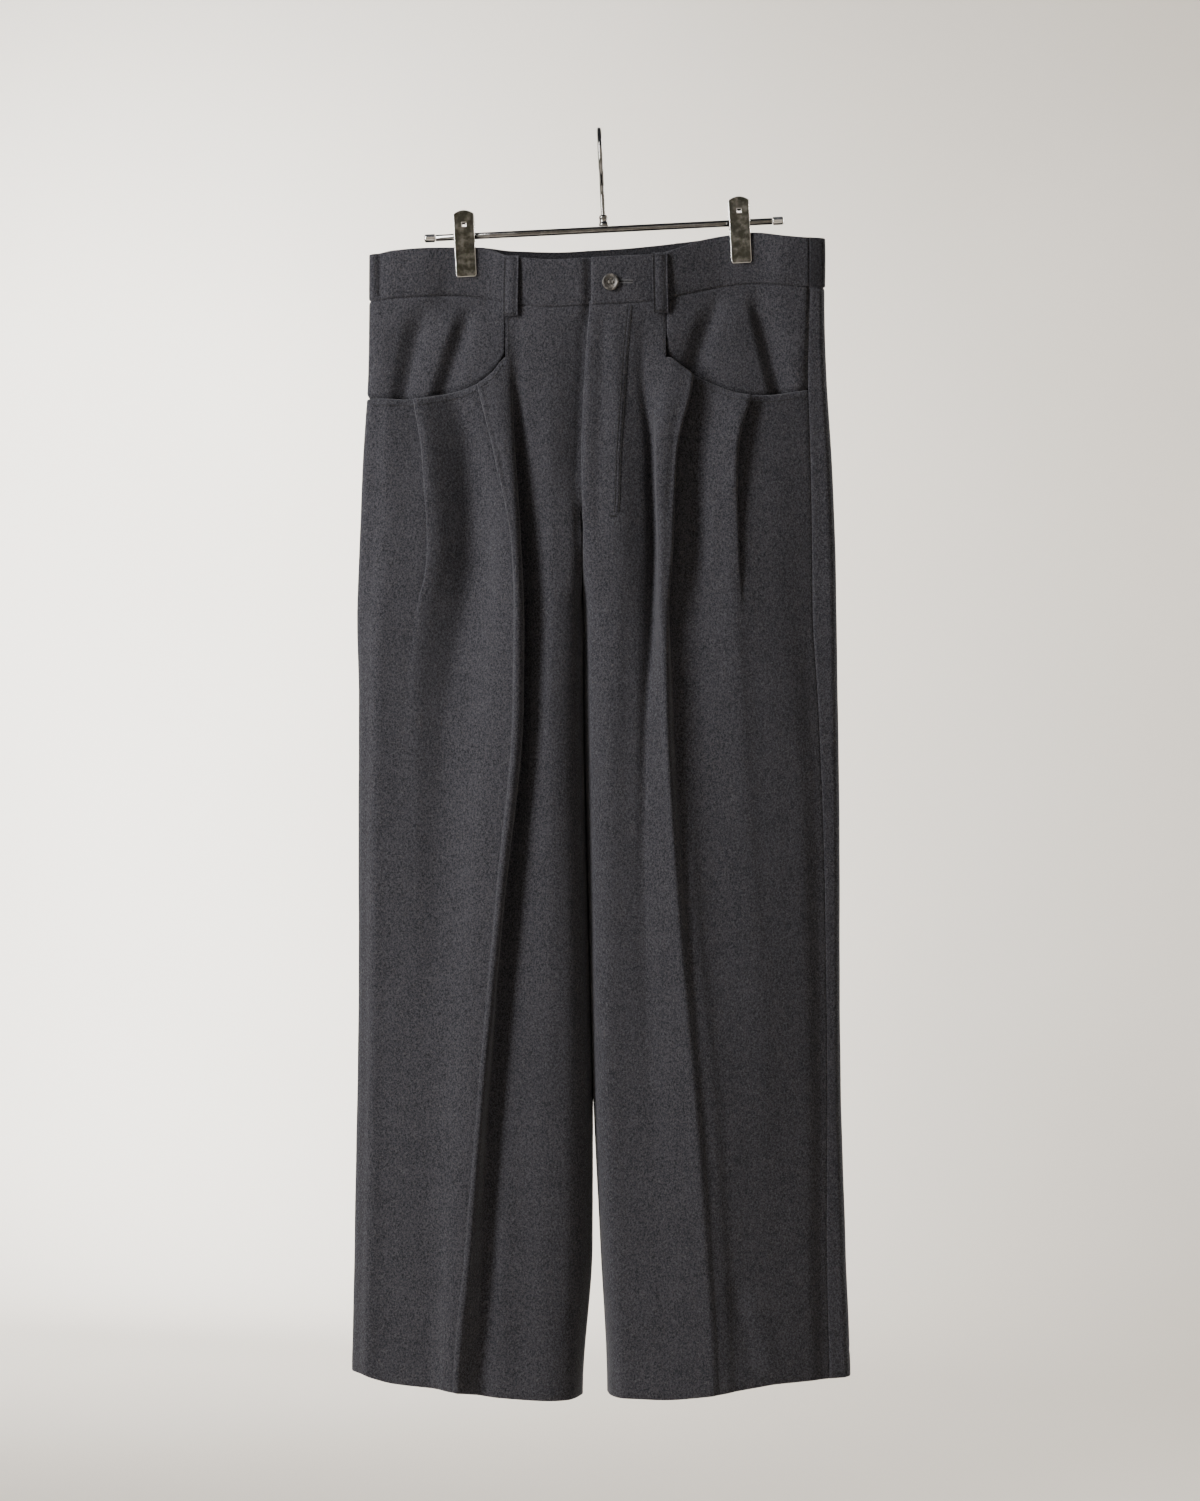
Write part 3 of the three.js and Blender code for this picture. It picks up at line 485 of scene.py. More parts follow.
def step(start, end, lap):
    """A bend from one height to another: a fold where it laps, and a plain slope where it is wide."""
    wide = np.abs(end[0] - start[0])
    handle = wide / 2 + np.minimum(1, lap / 2) * 0.59 * wide + 1.73 * lap
    way = np.sign(end[0] - start[0])
    b, c = start[0] + way * handle, end[0] - way * handle
    plain = np.clip((wide - FOLD_WIDE) / 8, 0, 1)
    points = []
    for t in STEP_STOPS:
        s = 1 - t
        out = start[0] * s**3 + 3 * b * s * s * t + 3 * c * s * t * t + end[0] * t**3
        share = (out - start[0]) / (end[0] - start[0])
        points.append((out, mix(start[1], end[1], mix(ease(t), share, plain))))
    return points


def quarter(t):
    return 1 - math.sqrt(1 - t * t)


def front_section(leg):
    side, r = leg["side"], columns_of(leg)
    seam = (r["seam_out"], r["seam_front"])
    line = [seam]
    if side < 0:
        last = (r["edge_out"] - 2, 5 + 0 * LEVELS)
        line += [(r["edge_out"], 0 * LEVELS), last]
    else:
        last = (r["seam_out"] - 6, r["seam_front"] + 1.4)
        line.append(last)
    pleat_in = (r["pleat_out"] - r["pleat_lap"] / 2 + r["pleat_wide"] / 2, r["pleat_low"])
    pleat_out = (pleat_in[0] - r["pleat_wide"], r["pleat_high"])
    field = ((last[0] * 2 + pleat_in[0]) / 3, r["field_front"])
    dip = (r["dip_out"], r["dip_front"])
    fold_top = (r["fold_out"] - r["fold_lap"] / 2 - 2, r["fold_high"])
    fold_in = (fold_top[0] + r["fold_wide"], r["fold_low"])
    strip_end = (np.minimum(r["fold_out"] - r["strip"], fold_top[0] - 0.8), r["fold_high"])
    valley = (strip_end[0] - r["slit_wide"], r["slit_front"])
    crest = (r["crest_out"], r["crest_front"])
    under = follow(UNDERLAP["down"], UNDERLAP["wide"], LEVELS) if side < 0 else 0 * LEVELS
    depth = follow(UNDERLAP["down"], UNDERLAP["depth"], LEVELS) if side < 0 else 0 * LEVELS
    t = parted(LEVELS)
    centre_out = side * follow(CENTRE_FRONT["down"], CENTRE_FRONT["x"], LEVELS) - under
    centre_front = follow(CENTRE_FRONT["down"], CENTRE_FRONT["front"], LEVELS) - depth
    end = (mix(centre_out, r["end_out"], t), mix(centre_front, r["end_front"], t))
    line += [*between(last, field, 1), field, *between(field, pleat_in, 1)]
    line += step(pleat_in, pleat_out, r["pleat_lap"])
    line += [*between(pleat_out, dip, 1), dip, *between(dip, fold_in, 2)]
    line += step(fold_in, fold_top, r["fold_lap"])
    seam_at = len(line)
    line += step(strip_end, valley, r["slit_lap"])
    line += [*between(valley, crest, 2, lambda t: t**0.65), crest]
    rolled = between(crest, end, 3, quarter)
    if side < 0:
        tuck = (end[0] + under + 3, end[1])
        lap = np.clip(under / 16, 0, 1)
        flat = [*between(crest, tuck, 2), tuck]
        rolled = [(mix(a[0], b[0], lap), mix(a[1], b[1], lap)) for a, b in zip(rolled, flat)]
    return [*line, *rolled, end], seam_at


def back_section(leg):
    side, r = leg["side"], columns_of(leg)
    seam = (r["seam_out"], r["seam_front"])
    line = [seam]
    if side > 0:
        rounded = (r["edge_out"] - 4, r["seam_front"] * 0.7)
        line += [*between(seam, rounded, 1, lambda t: t), rounded, (r["edge_out"], -4 + 0 * LEVELS)]
    turn = (r["edge_out"] - 4, -8 + 0 * LEVELS)
    outer = (r["edge_out"] - 30, -r["back_outer"] - 2)
    crease = (116 + 0 * LEVELS, -r["back_crease"])
    inner = (50 + 0 * LEVELS, -r["back_inner"])
    t = parted(LEVELS)
    centre_out = side * follow(CENTRE_BACK["down"], CENTRE_BACK["x"], LEVELS)
    centre_back = -follow(CENTRE_BACK["down"], CENTRE_BACK["back"], LEVELS)
    end = (mix(centre_out, r["end_out"], t), mix(centre_back, r["end_front"], t))
    line += [turn, *between(turn, outer, 1), outer, *between(outer, crease, 2, lambda t: t**1.3)]
    line += [crease, *between(crease, inner, 2, lambda t: t**0.8), inner]
    return [*line, *between(inner, end, 3, quarter), end]


# %% [markdown]
# The solid's section has few points. Here a Catmull-Rom curve, weighted by the distance
# between its points so that it can't loop at the tight folds, puts four points for each.
# The result is a table by level and column, and a row of cloth is read from it at any height,
# also at one that slants, as along the pocket mouth and the hem.

# %% Rows of points along a leg
FINER = 4


def finer(line, many=FINER):
    points = np.stack([np.stack([out, front], -1) for out, front in line], 1)
    gap = np.maximum(np.linalg.norm(np.diff(points, axis=1), axis=2, keepdims=True), 1e-6)
    run = np.diff(points, axis=1) / gap
    slope = np.empty_like(points)
    slope[:, 1:-1] = (run[:, :-1] * gap[:, 1:] + run[:, 1:] * gap[:, :-1]) / (gap[:, 1:] + gap[:, :-1])
    slope[:, 0], slope[:, -1] = run[:, 0], run[:, -1]
    pieces = []
    for k in range(many):
        s = k / many
        bend = gap * (slope[:, :-1] * s * (1 - s) ** 2 + slope[:, 1:] * s * s * (s - 1))
        from_first = points[:, :-1] * (1 + 2 * s) * (1 - s) ** 2
        pieces.append(from_first + points[:, 1:] * s * s * (3 - 2 * s) + bend)
    dense = np.stack(pieces, 2).reshape(len(points), -1, 2)
    return np.concatenate([dense, points[:, -1:]], 1)


def read(table, down):
    """The (out, front) of each column of the table, at that column's own height."""
    at = np.clip((down - LEVELS[0]) / LEVEL_STEP, 0, len(LEVELS) - 1.001)
    k = at.astype(int)
    share = (at - k)[:, None]
    column = np.arange(table.shape[1])
    return mix(table[k, column], table[k + 1, column], share)


def leg_rows(leg, table, edges, counts):
    """Rows of points between the edges, each edge a height or a height by distance out."""
    rows = []
    for e, count in enumerate(counts):
        first, second = edges[e], edges[e + 1]
        last = 1 if e == len(counts) - 1 else 0
        for t in np.arange(count + last) / count:
            down = np.full(table.shape[1], 500.0 if e else 180.0)
            for _ in range(4):
                out = read(table, down)[:, 0]
                down = mix(first(out), second(out), t)
            spot = read(table, down)
            rows.append(np.stack([leg["side"] * spot[:, 0], -spot[:, 1], -down], -1))
    return np.array(rows)


def level(down):
    return lambda out: np.full(np.shape(out), float(down))


def edge(table):
    return lambda out: follow(table["out"], table["down"], out)


right_front_line, right_seam_at = front_section(RIGHT_LEG)
left_front_line, left_seam_at = front_section(LEFT_LEG)
right_table, left_table = finer(right_front_line), finer(left_front_line)
print("columns of the front legs:", right_table.shape[1], left_table.shape[1])

# %% [markdown]
# Real cloth is never as even as its table. Three things are laid over the form, each by moving
# points along the cloth's own normal: a very shallow swell over the whole panel, soft creases
# given as strokes, and a narrow sink at each seam, where the stitches pull it in.

# %% Soft relief
def normals_of(grid, facing):
    """Unit normals of a grid of points, on the side of the cloth that looks along facing (Y)."""
    normal = np.cross(np.gradient(grid, axis=1), np.gradient(grid, axis=0))
    normal /= np.maximum(np.linalg.norm(normal, axis=2, keepdims=True), 1e-9)
    return normal * np.sign(normal[..., 1].mean() * facing)


def swell(x, down, size=0.55):
    """A shallow uneven wave, the same on every run."""
    slow = np.sin(x / 23 + down / 61 + 1.3) + np.sin(down / 47 - x / 37 + 0.4)
    quick = np.sin(x / 11.3 - down / 29 + 2.1) * np.sin(down / 19.7 + 0.7)
    return size * (0.4 * slow + 0.22 * quick)


def stroke_height(x, down, strokes):
    """Ridges (height above 0) and troughs (below 0) along strokes x, down, x, down, wide, height."""
    height = np.zeros(np.shape(x))
    for x0, down0, x1, down1, wide, rise in strokes:
        along = np.array([x1 - x0, down1 - down0], float)
        length = np.hypot(*along)
        dx, dd = x - x0, down - down0
        t = (dx * along[0] + dd * along[1]) / length**2
        away = (dx * along[1] - dd * along[0]) / length
        fade = ease(t / 0.18 + 0.25) * ease((1 - t) / 0.18 + 0.25)
        height += rise * np.exp(-((away / wide) ** 2)) * fade
    return height


def seam_sink(grid, depth=0.55, wide=1.8, first=True, last=True):
    """How far the cloth sinks near its first and last column."""
    steps = np.linalg.norm(np.diff(grid, axis=1), axis=2)
    from_first = np.concatenate([np.zeros((len(grid), 1)), np.cumsum(steps, axis=1)], 1)
    from_last = from_first[:, -1:] - from_first
    sink = first * np.exp(-((from_first / wide) ** 2)) + last * np.exp(-((from_last / wide) ** 2))
    return -depth * sink


def relieved(grid, facing, strokes=(), sink=None, size=0.55, inside_leg=False):
    normal = normals_of(grid, facing)
    x, down = grid[..., 0], -grid[..., 2]
    height = swell(x, down, size) + stroke_height(x, down, strokes)
    if sink is not None:
        height = height + sink
    if inside_leg:
        from_end = np.linalg.norm(grid - grid[:, -1:], axis=2)
        height = height * mix(1, ease(from_end / 9), parted(down))
    return grid + normal * height[..., None]


def seam_groove(away, depth, wide=1.5):
    """A sink across the cloth at a sewn line, where away is the distance from it."""
    return -depth * np.exp(-((away / wide) ** 2))


# %% [markdown]
# A cut edge of this cloth never shows. At the hem and at the pocket mouths the cloth rolls
# over and comes back inside, about as wide as a thumb. The rolled part is built from the
# panel's own last rows, moved inward, so it follows every fold of the panel. The panel is
# modelled as a surface without thickness, and a Solidify modifier makes both of its faces.

# %% Cloth with turned edges
CLOTH = 1.6
ROLL = 1.25
cloth_pieces = []


def turned_edge(lines, inward, radius=ROLL):
    """Lines that roll over the edge lines[0] and come back inside along the other lines."""
    away = lines[0] - lines[1]
    away /= np.maximum(np.linalg.norm(away, axis=-1, keepdims=True), 1e-9)
    rolled = [lines[0]]
    for turn in np.radians([40, 90, 140]):
        rolled.append(lines[0] + inward[0] * radius * (1 - math.cos(turn)) + away * radius * math.sin(turn))
    return np.array([*rolled, *(line + inn * 2 * radius for line, inn in zip(lines, inward))])


def joined(name, grids, masks=None):
    """One mesh from several grids of points in mm, sewn where their points meet."""
    made = bmesh.new()
    for g, grid in enumerate(grids):
        mask = np.ones((len(grid) - 1, grid.shape[1] - 1), bool)
        if masks and masks[g] is not None:
            mask = masks[g]
        spots = {}

        def spot(j, i):
            if (j, i) not in spots:
                spots[j, i] = made.verts.new(grid[j, i] * MM)
            return spots[j, i]

        for j, i in zip(*np.nonzero(mask)):
            made.faces.new((spot(j, i), spot(j + 1, i), spot(j + 1, i + 1), spot(j, i + 1)))
    bmesh.ops.remove_doubles(made, verts=made.verts, dist=2e-6)
    bmesh.ops.dissolve_degenerate(made, edges=made.edges, dist=1e-7)
    bmesh.ops.recalc_face_normals(made, faces=made.faces)
    mesh = bpy.data.meshes.new(name)
    made.to_mesh(mesh)
    made.free()
    mesh.polygons.foreach_set("use_smooth", [True] * len(mesh.polygons))
    piece = bpy.data.objects.new(name, mesh)
    bpy.context.scene.collection.objects.link(piece)
    return piece


def closed(piece):
    """Fills the open ends of a ring of cloth."""
    caps = bmesh.new()
    caps.from_mesh(piece.data)
    bmesh.ops.holes_fill(caps, edges=[e for e in caps.edges if e.is_boundary], sides=0)
    bmesh.ops.recalc_face_normals(caps, faces=caps.faces)
    caps.to_mesh(piece.data)
    caps.free()
    piece.data.polygons.foreach_set("use_smooth", [True] * len(piece.data.polygons))
    return piece


def area_of(piece):
    return sum(face.area for face in piece.data.polygons)


def dress(piece, node, thickness=CLOTH, material=nap):
    """Gives a shell its thickness and finish, and puts it in place of its solid."""
    piece.data.materials.append(material)
    if thickness:
        thick = piece.modifiers.new("thickness", "SOLIDIFY")
        thick.thickness, thick.offset, thick.use_even_offset = thickness * MM, 0, False
    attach(piece, "root")
    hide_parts(node)
    cloth_pieces.append(piece)
    return piece


def flat_size(grid):
    """The widest row and the longest column of a grid, along the cloth, in metres."""
    wide = np.linalg.norm(np.diff(grid, axis=1), axis=2).sum(1).max()
    tall = np.linalg.norm(np.diff(grid, axis=0), axis=2).sum(0).max()
    return round(wide * MM, 3), round(tall * MM, 3)


flat_cuts = {}


def cut(piece, flat, rests_on, area=None):
    flat_cuts[piece.name] = (piece, flat, area, rests_on)


# %% [markdown]
# The front legs. The cloth is cut in one piece from hem to waist: outside the vertical seam it
# stops at the pocket mouth, and inside that seam it runs on up to the waistband. Two pleats
# are held at the mouth. The strokes are the creases seen in the photograph, in mm from the
# middle and mm below the hook: a ridge is positive, a trough is negative.

# %% Front legs
HEM_ALLOWANCE = 0.032
TUCK_UP = 2.5
UNDERLAP_DEPTH = 4.2
TOP_COUNTS = [34, 6, 118, 12]
HEM_TURN = 5
MOUTH_TURN = 4
MOUTH_ROLL = 1.7
FLY_TURN = 4
FLY_ROLL = 0.85
FLY_END = 352

RIGHT_CREASES = [
    (-12, 160, -20, 330, 5.5, -2.0),
    (-19, 320, -16, 440, 5.5, -2.4),
    (-158, 246, -150, 330, 3.2, 1.0),
    (-150, 330, -158, 420, 3.6, -0.8),
    (-104, 238, -82, 320, 3.0, -1.0),
    (-100, 300, -110, 520, 16, -1.2),
    (-190, 420, -176, 700, 18, 0.9),
    (-60, 420, -58, 640, 9, 1.0),
    (-150, 760, -128, 1090, 22, 1.1),
    (-196, 820, -186, 1120, 14, -0.8),
    (-72, 800, -66, 1128, 12, -0.9),
    (-25, 640, -30, 1100, 7, 0.8),
    (-10.8, 980, -18, 1056, 0.9, -0.5),
    (-18, 1050, -22.5, 1140, 0.9, -0.5),
]
LEFT_CREASES = [
    (-8.5, 158, -12.5, 345, 3.2, 1.3),
    (4, 158, -2, 380, 6, -1.7),
    (17, 200, 12, 400, 5, 0.9),
    (126, 250, 118, 330, 3.2, 1.0),
    (112, 330, 106, 420, 4.0, -0.9),
    (70, 250, 62, 340, 2.6, -0.9),
    (96, 260, 104, 420, 8, 0.9),
    (160, 300, 164, 560, 16, 1.1),
    (134, 420, 152, 760, 15, -1.0),
    (30, 380, 36, 640, 7, 0.8),
    (180, 600, 186, 1100, 10, 0.9),
    (120, 1030, 136, 1105, 7, -1.3),
    (136, 1040, 156, 1118, 10, 1.0),
    (44, 700, 60, 1120, 9, -0.8),
]


def cloth_top(side, row="bottom"):
    return lambda out: band_line(row, side * out) - TUCK_UP


def under_band(grid, way, side):
    """Brings a panel's top to the band's own depth, where the two are sewn together."""
    x, y, down = grid[..., 0], grid[..., 1], -grid[..., 2]
    front = way > 0
    bottom = band_line("bottom" if front else "back_bottom", x)
    on_band = -way * band_line("front" if front else "back", x)
    if front and side < 0:
        on_band = on_band + UNDERLAP_DEPTH * ease((x + 17) / 9)
    share = (1 - ease((down - bottom) / 24)) * ease((190 - np.abs(x)) / 8)
    grid[..., 1] = mix(y, on_band, share)
    return grid


def hem_groove(grid, hem, side, above=21.5):
    """The faint line that the hem's stitches leave on the outside."""
    out, down = side * grid[..., 0], -grid[..., 2]
    away = edge(hem)(out) - above - down
    return -0.42 * np.exp(-((away / 1.1) ** 2)) + 0.12 * np.exp(-(((away + 11) / 9) ** 2))


def mouth_groove(grid, mouth, side, mouth_row, seam_column):
    """The line of edge stitching just below the pocket mouth."""
    out, down = side * grid[..., 0], -grid[..., 2]
    away = down - edge(mouth)(out) - 3.6
    groove = -0.34 * np.exp(-((away / 0.9) ** 2))
    groove[:, seam_column:] = 0
    groove[:mouth_row] = 0
    return groove


def front_leg(name, leg, table, seam_at, mouth, hem, creases):
    side = leg["side"]
    edges = [cloth_top(side), edge(mouth), level(262), level(1065), edge(hem)]
    grid = under_band(leg_rows(leg, table, edges, TOP_COUNTS), 1, side)
    mouth_row, seam_column = TOP_COUNTS[0], seam_at * FINER
    sink = seam_sink(grid) + hem_groove(grid, hem, side)
    sink += mouth_groove(grid, mouth, side, mouth_row, seam_column)
    sink += seam_groove(-grid[..., 2] - band_line("bottom", grid[..., 0]), 0.9)
    grid = relieved(grid, -1, creases, sink, 0.55, True)
    inward = -normals_of(grid, -1)
    kept = np.ones((len(grid) - 1, grid.shape[1] - 1), bool)
    kept[:mouth_row, :seam_column] = False
    hem_lines = turned_edge(grid[: -HEM_TURN - 2 : -1], inward[: -HEM_TURN - 2 : -1])
    rows = slice(mouth_row, mouth_row + MOUTH_TURN + 1)
    mouth_lines = turned_edge(grid[rows, : seam_column + 1], inward[rows, : seam_column + 1], MOUTH_ROLL)
    grids, masks = [grid, hem_lines, mouth_lines], [kept, None, None]
    if side > 0:
        rows = -grid[:, -1, 2] < FLY_END
        fly_lines = np.swapaxes(grid[rows][:, : -FLY_TURN - 2 : -1], 0, 1)
        fly_inward = np.swapaxes(inward[rows][:, : -FLY_TURN - 2 : -1], 0, 1)
        grids.append(turned_edge(fly_lines, fly_inward, FLY_ROLL))
        masks.append(None)
    piece = joined(name, grids, masks)
    area = area_of(piece)
    wide, tall = flat_size(grid)
    band_node = "right_front_waistband" if side < 0 else "left_front_waistband"
    cut(piece, (wide, round(tall + HEM_ALLOWANCE, 3)), [band_node], area)
    dress(piece, name.replace("_cloth", ""))
    print(name, "faces", len(piece.data.polygons), "cut in m", wide, tall, "area", round(area, 3))
    return piece


right_front = front_leg(
    "right_front_leg_cloth", RIGHT_LEG, right_table, right_seam_at, RIGHT_MOUTH, RIGHT_HEM, RIGHT_CREASES
)
left_front = front_leg(
    "left_front_leg_cloth", LEFT_LEG, left_table, left_seam_at, LEFT_MOUTH, LEFT_HEM, LEFT_CREASES
)

# %% [markdown]
# The back legs are not seen in the photograph, so they are finished plainly: one panel each,
# with a pressed crease, shallow folds like those in front, and the same turned hem.

# %% Back legs
BACK_COUNTS = [30, 130, 12]
RIGHT_BACK_CREASES = [
    (-120, 200, -116, 420, 20, -1.9),
    (-60, 330, -40, 470, 10, 1.8),
    (-90, 420, -70, 700, 14, -2.1),
    (-170, 380, -160, 760, 18, 1.8),
    (-150, 700, -140, 1100, 16, -1.9),
    (-60, 700, -70, 1110, 14, 1.9),
    (-30, 440, -60, 520, 6, -1.6),
    (-116, 560, -116, 1125, 2.2, 0.9),
]
LEFT_BACK_CREASES = [
    (118, 190, 112, 430, 18, -1.8),
    (52, 340, 38, 460, 9, 1.9),
    (84, 400, 72, 720, 15, -1.9),
    (168, 360, 162, 740, 17, 1.6),
    (150, 680, 146, 1090, 15, -1.8),
    (58, 690, 66, 1110, 13, 1.8),
    (26, 440, 58, 510, 6, -1.6),
    (116, 560, 116, 1125, 2.2, 0.9),
]


def back_leg(name, leg, hem, creases):
    side = leg["side"]
    table = finer(back_section(leg))
    edges = [cloth_top(side, "back_bottom"), level(215), level(1065), edge(hem)]
    grid = under_band(leg_rows(leg, table, edges, BACK_COUNTS), -1, side)
    sink = seam_sink(grid) + hem_groove(grid, hem, side)
    sink += seam_groove(-grid[..., 2] - band_line("back_bottom", grid[..., 0]), 0.9)
    grid = relieved(grid, 1, creases, sink, 0.55, True)
    inward = -normals_of(grid, 1)
    hem_lines = turned_edge(grid[: -HEM_TURN - 2 : -1], inward[: -HEM_TURN - 2 : -1])
    piece = joined(name, [grid, hem_lines])
    area = area_of(piece)
    wide, tall = flat_size(grid)
    cut(piece, (wide, round(tall + HEM_ALLOWANCE, 3)), ["back_waistband"], area)
    dress(piece, name.replace("_cloth", ""))
    print(name, "faces", len(piece.data.polygons), "cut in m", wide, tall, "area", round(area, 3))
    return piece


back_leg("right_back_leg_cloth", RIGHT_LEG, RIGHT_HEM, RIGHT_BACK_CREASES)
back_leg("left_back_leg_cloth", LEFT_LEG, LEFT_HEM, LEFT_BACK_CREASES)

# %% [markdown]
# A hip yoke hangs behind each pocket mouth and carries on below it as the pocket's facing. The
# clip pinches the band above it, so its folds start close together at the band and fan out
# on their way down. Each station of the table therefore has one place near the band and
# another at the mouth, and how far it stands to the front.

# %% Hip yokes
RIGHT_YOKE = {
    "high": [84, 96, 104, 115, 129, 144, 157, 177],
    "low": [84, 106, 121, 138, 154, 165, 174, 191],
    "front": [9, 8.6, 7.4, 2.4, 9.4, 6.4, 1.0, 7],
}
LEFT_YOKE = {
    "high": [60.5, 86, 105, 114, 121, 130, 142, 170],
    "low": [60.5, 64, 80, 100, 125, 148, 162, 178],
    "front": [15, 12.5, 4.2, 8.6, 9.8, 8.6, 0.6, 6],
}
YOKE_HIGH, YOKE_LOW = 156, 235
FACING_INSET = 3.5
FACING_END = 300


def yoke(name, leg, mouth, folds):
    side = leg["side"]
    seam, last = folds["low"][0], folds["low"][-1]
    spread = np.concatenate([np.linspace(seam + 0.3, last, 70), [last + 3]])
    top = cloth_top(side)(spread)
    facing = edge(mouth)(spread) - 3
    shown, bend, hidden = np.linspace(0, 1, 60), 1 + np.linspace(0, 1, 6)[1:] * 0.25, np.linspace(1.3, 2, 9)
    rows = []
    for t in np.concatenate([shown, bend, hidden]):
        down = mix(top, facing - 5, min(t, 1))
        if t > 1:
            down = mix(facing - 5, facing + 3, min((t - 1) / 0.25, 1))
        if t > 1.25:
            down = mix(facing + 3, np.full_like(facing, FACING_END), (t - 1.25) / 0.75)
        inset = FACING_INSET * ease((down - facing + 5) / 8) + 0.07 * np.maximum(0, down - facing - 5)
        share = np.clip((down - YOKE_HIGH) / (YOKE_LOW - YOKE_HIGH), 0, 1)
        front = np.empty(len(spread))
        for k, out in enumerate(spread):
            stations = mix(np.array(folds["high"], float), np.array(folds["low"], float), share[k])
            front[k] = follow(stations, folds["front"], out)
        settle = ease((down - top - 4) / 34)
        front = mix(band_line("front", side * spread), front, settle) - inset
        line = list(zip(spread + 0 * down, front, down))
        keys = ("edge_out", "seam_out", "seam_front")
        r = {key: float(follow(HEIGHTS, leg[key], down[-1])) for key in keys}
        inn = inset[-1]
        if side < 0:
            line.append((r["edge_out"] - 4 - inn, 4.6 - inn, down[-1]))
            line.append((r["edge_out"] - 1 - inn, 2.6 - inn, down[-1]))
            line.append((r["edge_out"] - inn, 0.0, down[-1]))
            line.append((r["seam_out"] - inn, r["seam_front"] + inn, down[-1]))
        else:
            line.append((r["seam_out"] - 5 - inn, r["seam_front"] + 0.6 - inn, down[-1]))
            line.append((r["seam_out"] - inn, r["seam_front"] - inn, down[-1]))
        rows.append([(side * out, -front_at, -d) for out, front_at, d in line])
    grid = np.array(rows)
    from_band = -grid[..., 2] - band_line("bottom", grid[..., 0])
    sink = seam_sink(grid, 0.5, 1.6) + seam_groove(from_band - 0.6, 1.5)
    grid = relieved(grid, -1, (), sink, 0.35)
    piece = joined(name, [grid])
    band_node = "right_front_waistband" if side < 0 else "left_front_waistband"
    cut(piece, flat_size(grid), [band_node], area_of(piece))
    dress(piece, name.replace("_cloth", ""))
    print(name, "faces", len(piece.data.polygons), "cut in m", *flat_size(grid))
    return piece


yoke("right_hip_yoke_cloth", RIGHT_LEG, RIGHT_MOUTH, RIGHT_YOKE)
yoke("left_hip_yoke_cloth", LEFT_LEG, LEFT_MOUTH, LEFT_YOKE)

# %% [markdown]
# The waistband is a long strip folded in half along its top edge, with a stiff layer between.
# It is built as a ring of points that goes up the outside, over a rounded top, and down the
# inside, and this ring is carried along the band. Its ends taper, as a folded end does. The
# faces that look inward take a darker copy of the wool, a painted shade, because little light
# reaches them.

# %% Waistband
BAND_CLOTH = 2.6
FLY_EDGE = -7
UNDERLAP_END = 24


def rounded_ring(half, tall, corner, up=7):
    """(offset, height) points round a tall rounded strip, height from 0 at the top to 1."""
    ring = [(half, h) for h in np.linspace(1 - corner / tall, corner / tall, up)]
    for t in np.radians([30, 60, 90, 120, 150]):
        ring.append((half * math.cos(t), (corner - corner * math.sin(t)) / tall))
    ring += [(-half, h) for h in np.linspace(corner / tall, 1 - corner / tall, up)]
    for t in np.radians([30, 60, 90, 120, 150]):
        ring.append((-half * math.cos(t), 1 - (corner - corner * math.sin(t)) / tall))
    return ring


def band(name, spots, top_row, bottom_row, creases=(), tapered=(True, True), inside_way=1):
    line = np.array(spots, float)
    tangent = np.gradient(line, axis=0)
    tangent /= np.linalg.norm(tangent, axis=1, keepdims=True)
    across = np.stack([tangent[:, 1], -tangent[:, 0]], 1)
    run = np.concatenate([[0], np.cumsum(np.linalg.norm(np.diff(line, axis=0), axis=1))])
    ends = np.full(len(line), 99.0)
    if tapered[0]:
        ends = np.minimum(ends, run)
    if tapered[1]:
        ends = np.minimum(ends, run[-1] - run)
    size = np.sqrt(np.clip(1 - (1 - np.clip(ends / 1.6, 0, 1)) ** 2, 0.05, 1))
    columns = []
    for k, (x, y) in enumerate(line):
        top, bottom = band_line(top_row, x) + 0.3, band_line(bottom_row, x) - 0.1
        column = []
        for offset, h in rounded_ring(BAND_CLOTH / 2, bottom - top, 1.25):
            down = mix(top, bottom, h)
            puff = 0.28 * math.sin(math.pi * min(1, max(0, h))) * np.sign(offset)
            lift = offset * size[k] + puff + stroke_height(x, down, creases) * 0.5
            lift += 0.16 * math.sin(x / 7.3 + down / 9) * math.sin(x / 17 + 1)
            column.append((x + across[k, 0] * lift, y + across[k, 1] * lift, -down))
        columns.append(column + column[:1])
    grid = np.array(columns)
    piece = closed(joined(name, [grid]))
    length = float(run[-1]) * MM
    cut(piece, (round(length, 3), 0.046), ["clip_front_right", "clip_front_left"])
    dress(piece, name.replace("_cloth", ""), 0)
    # Faces that look inward take the darker copy of the wool: painted shade.
    piece.data.materials.append(painted_shade_nap)
    for face in piece.data.polygons:
        face.material_index = int(inside_way * face.normal.y > 0.3)
    print(name, "faces", len(piece.data.polygons), "length in mm", round(run[-1]))
    return piece


def along(first, last, gap=2.6):
    return np.linspace(first, last, max(3, int(abs(last - first) / gap) + 1))


def smooth_spots(corners, many=6):
    """A finer line of (x, y) spots through a few corners, for the turns at the hips."""
    pairs = [(np.array([a]), np.array([b])) for a, b in corners]
    return [tuple(p) for p in finer(pairs, many)[0]]


def band_front_y(x):
    return -band_line("front", x)


def tucked_y(x):
    """The front band's place, and deeper where it goes under the overlap."""
    return band_front_y(x) + UNDERLAP_DEPTH * ease((x + 17) / 9)


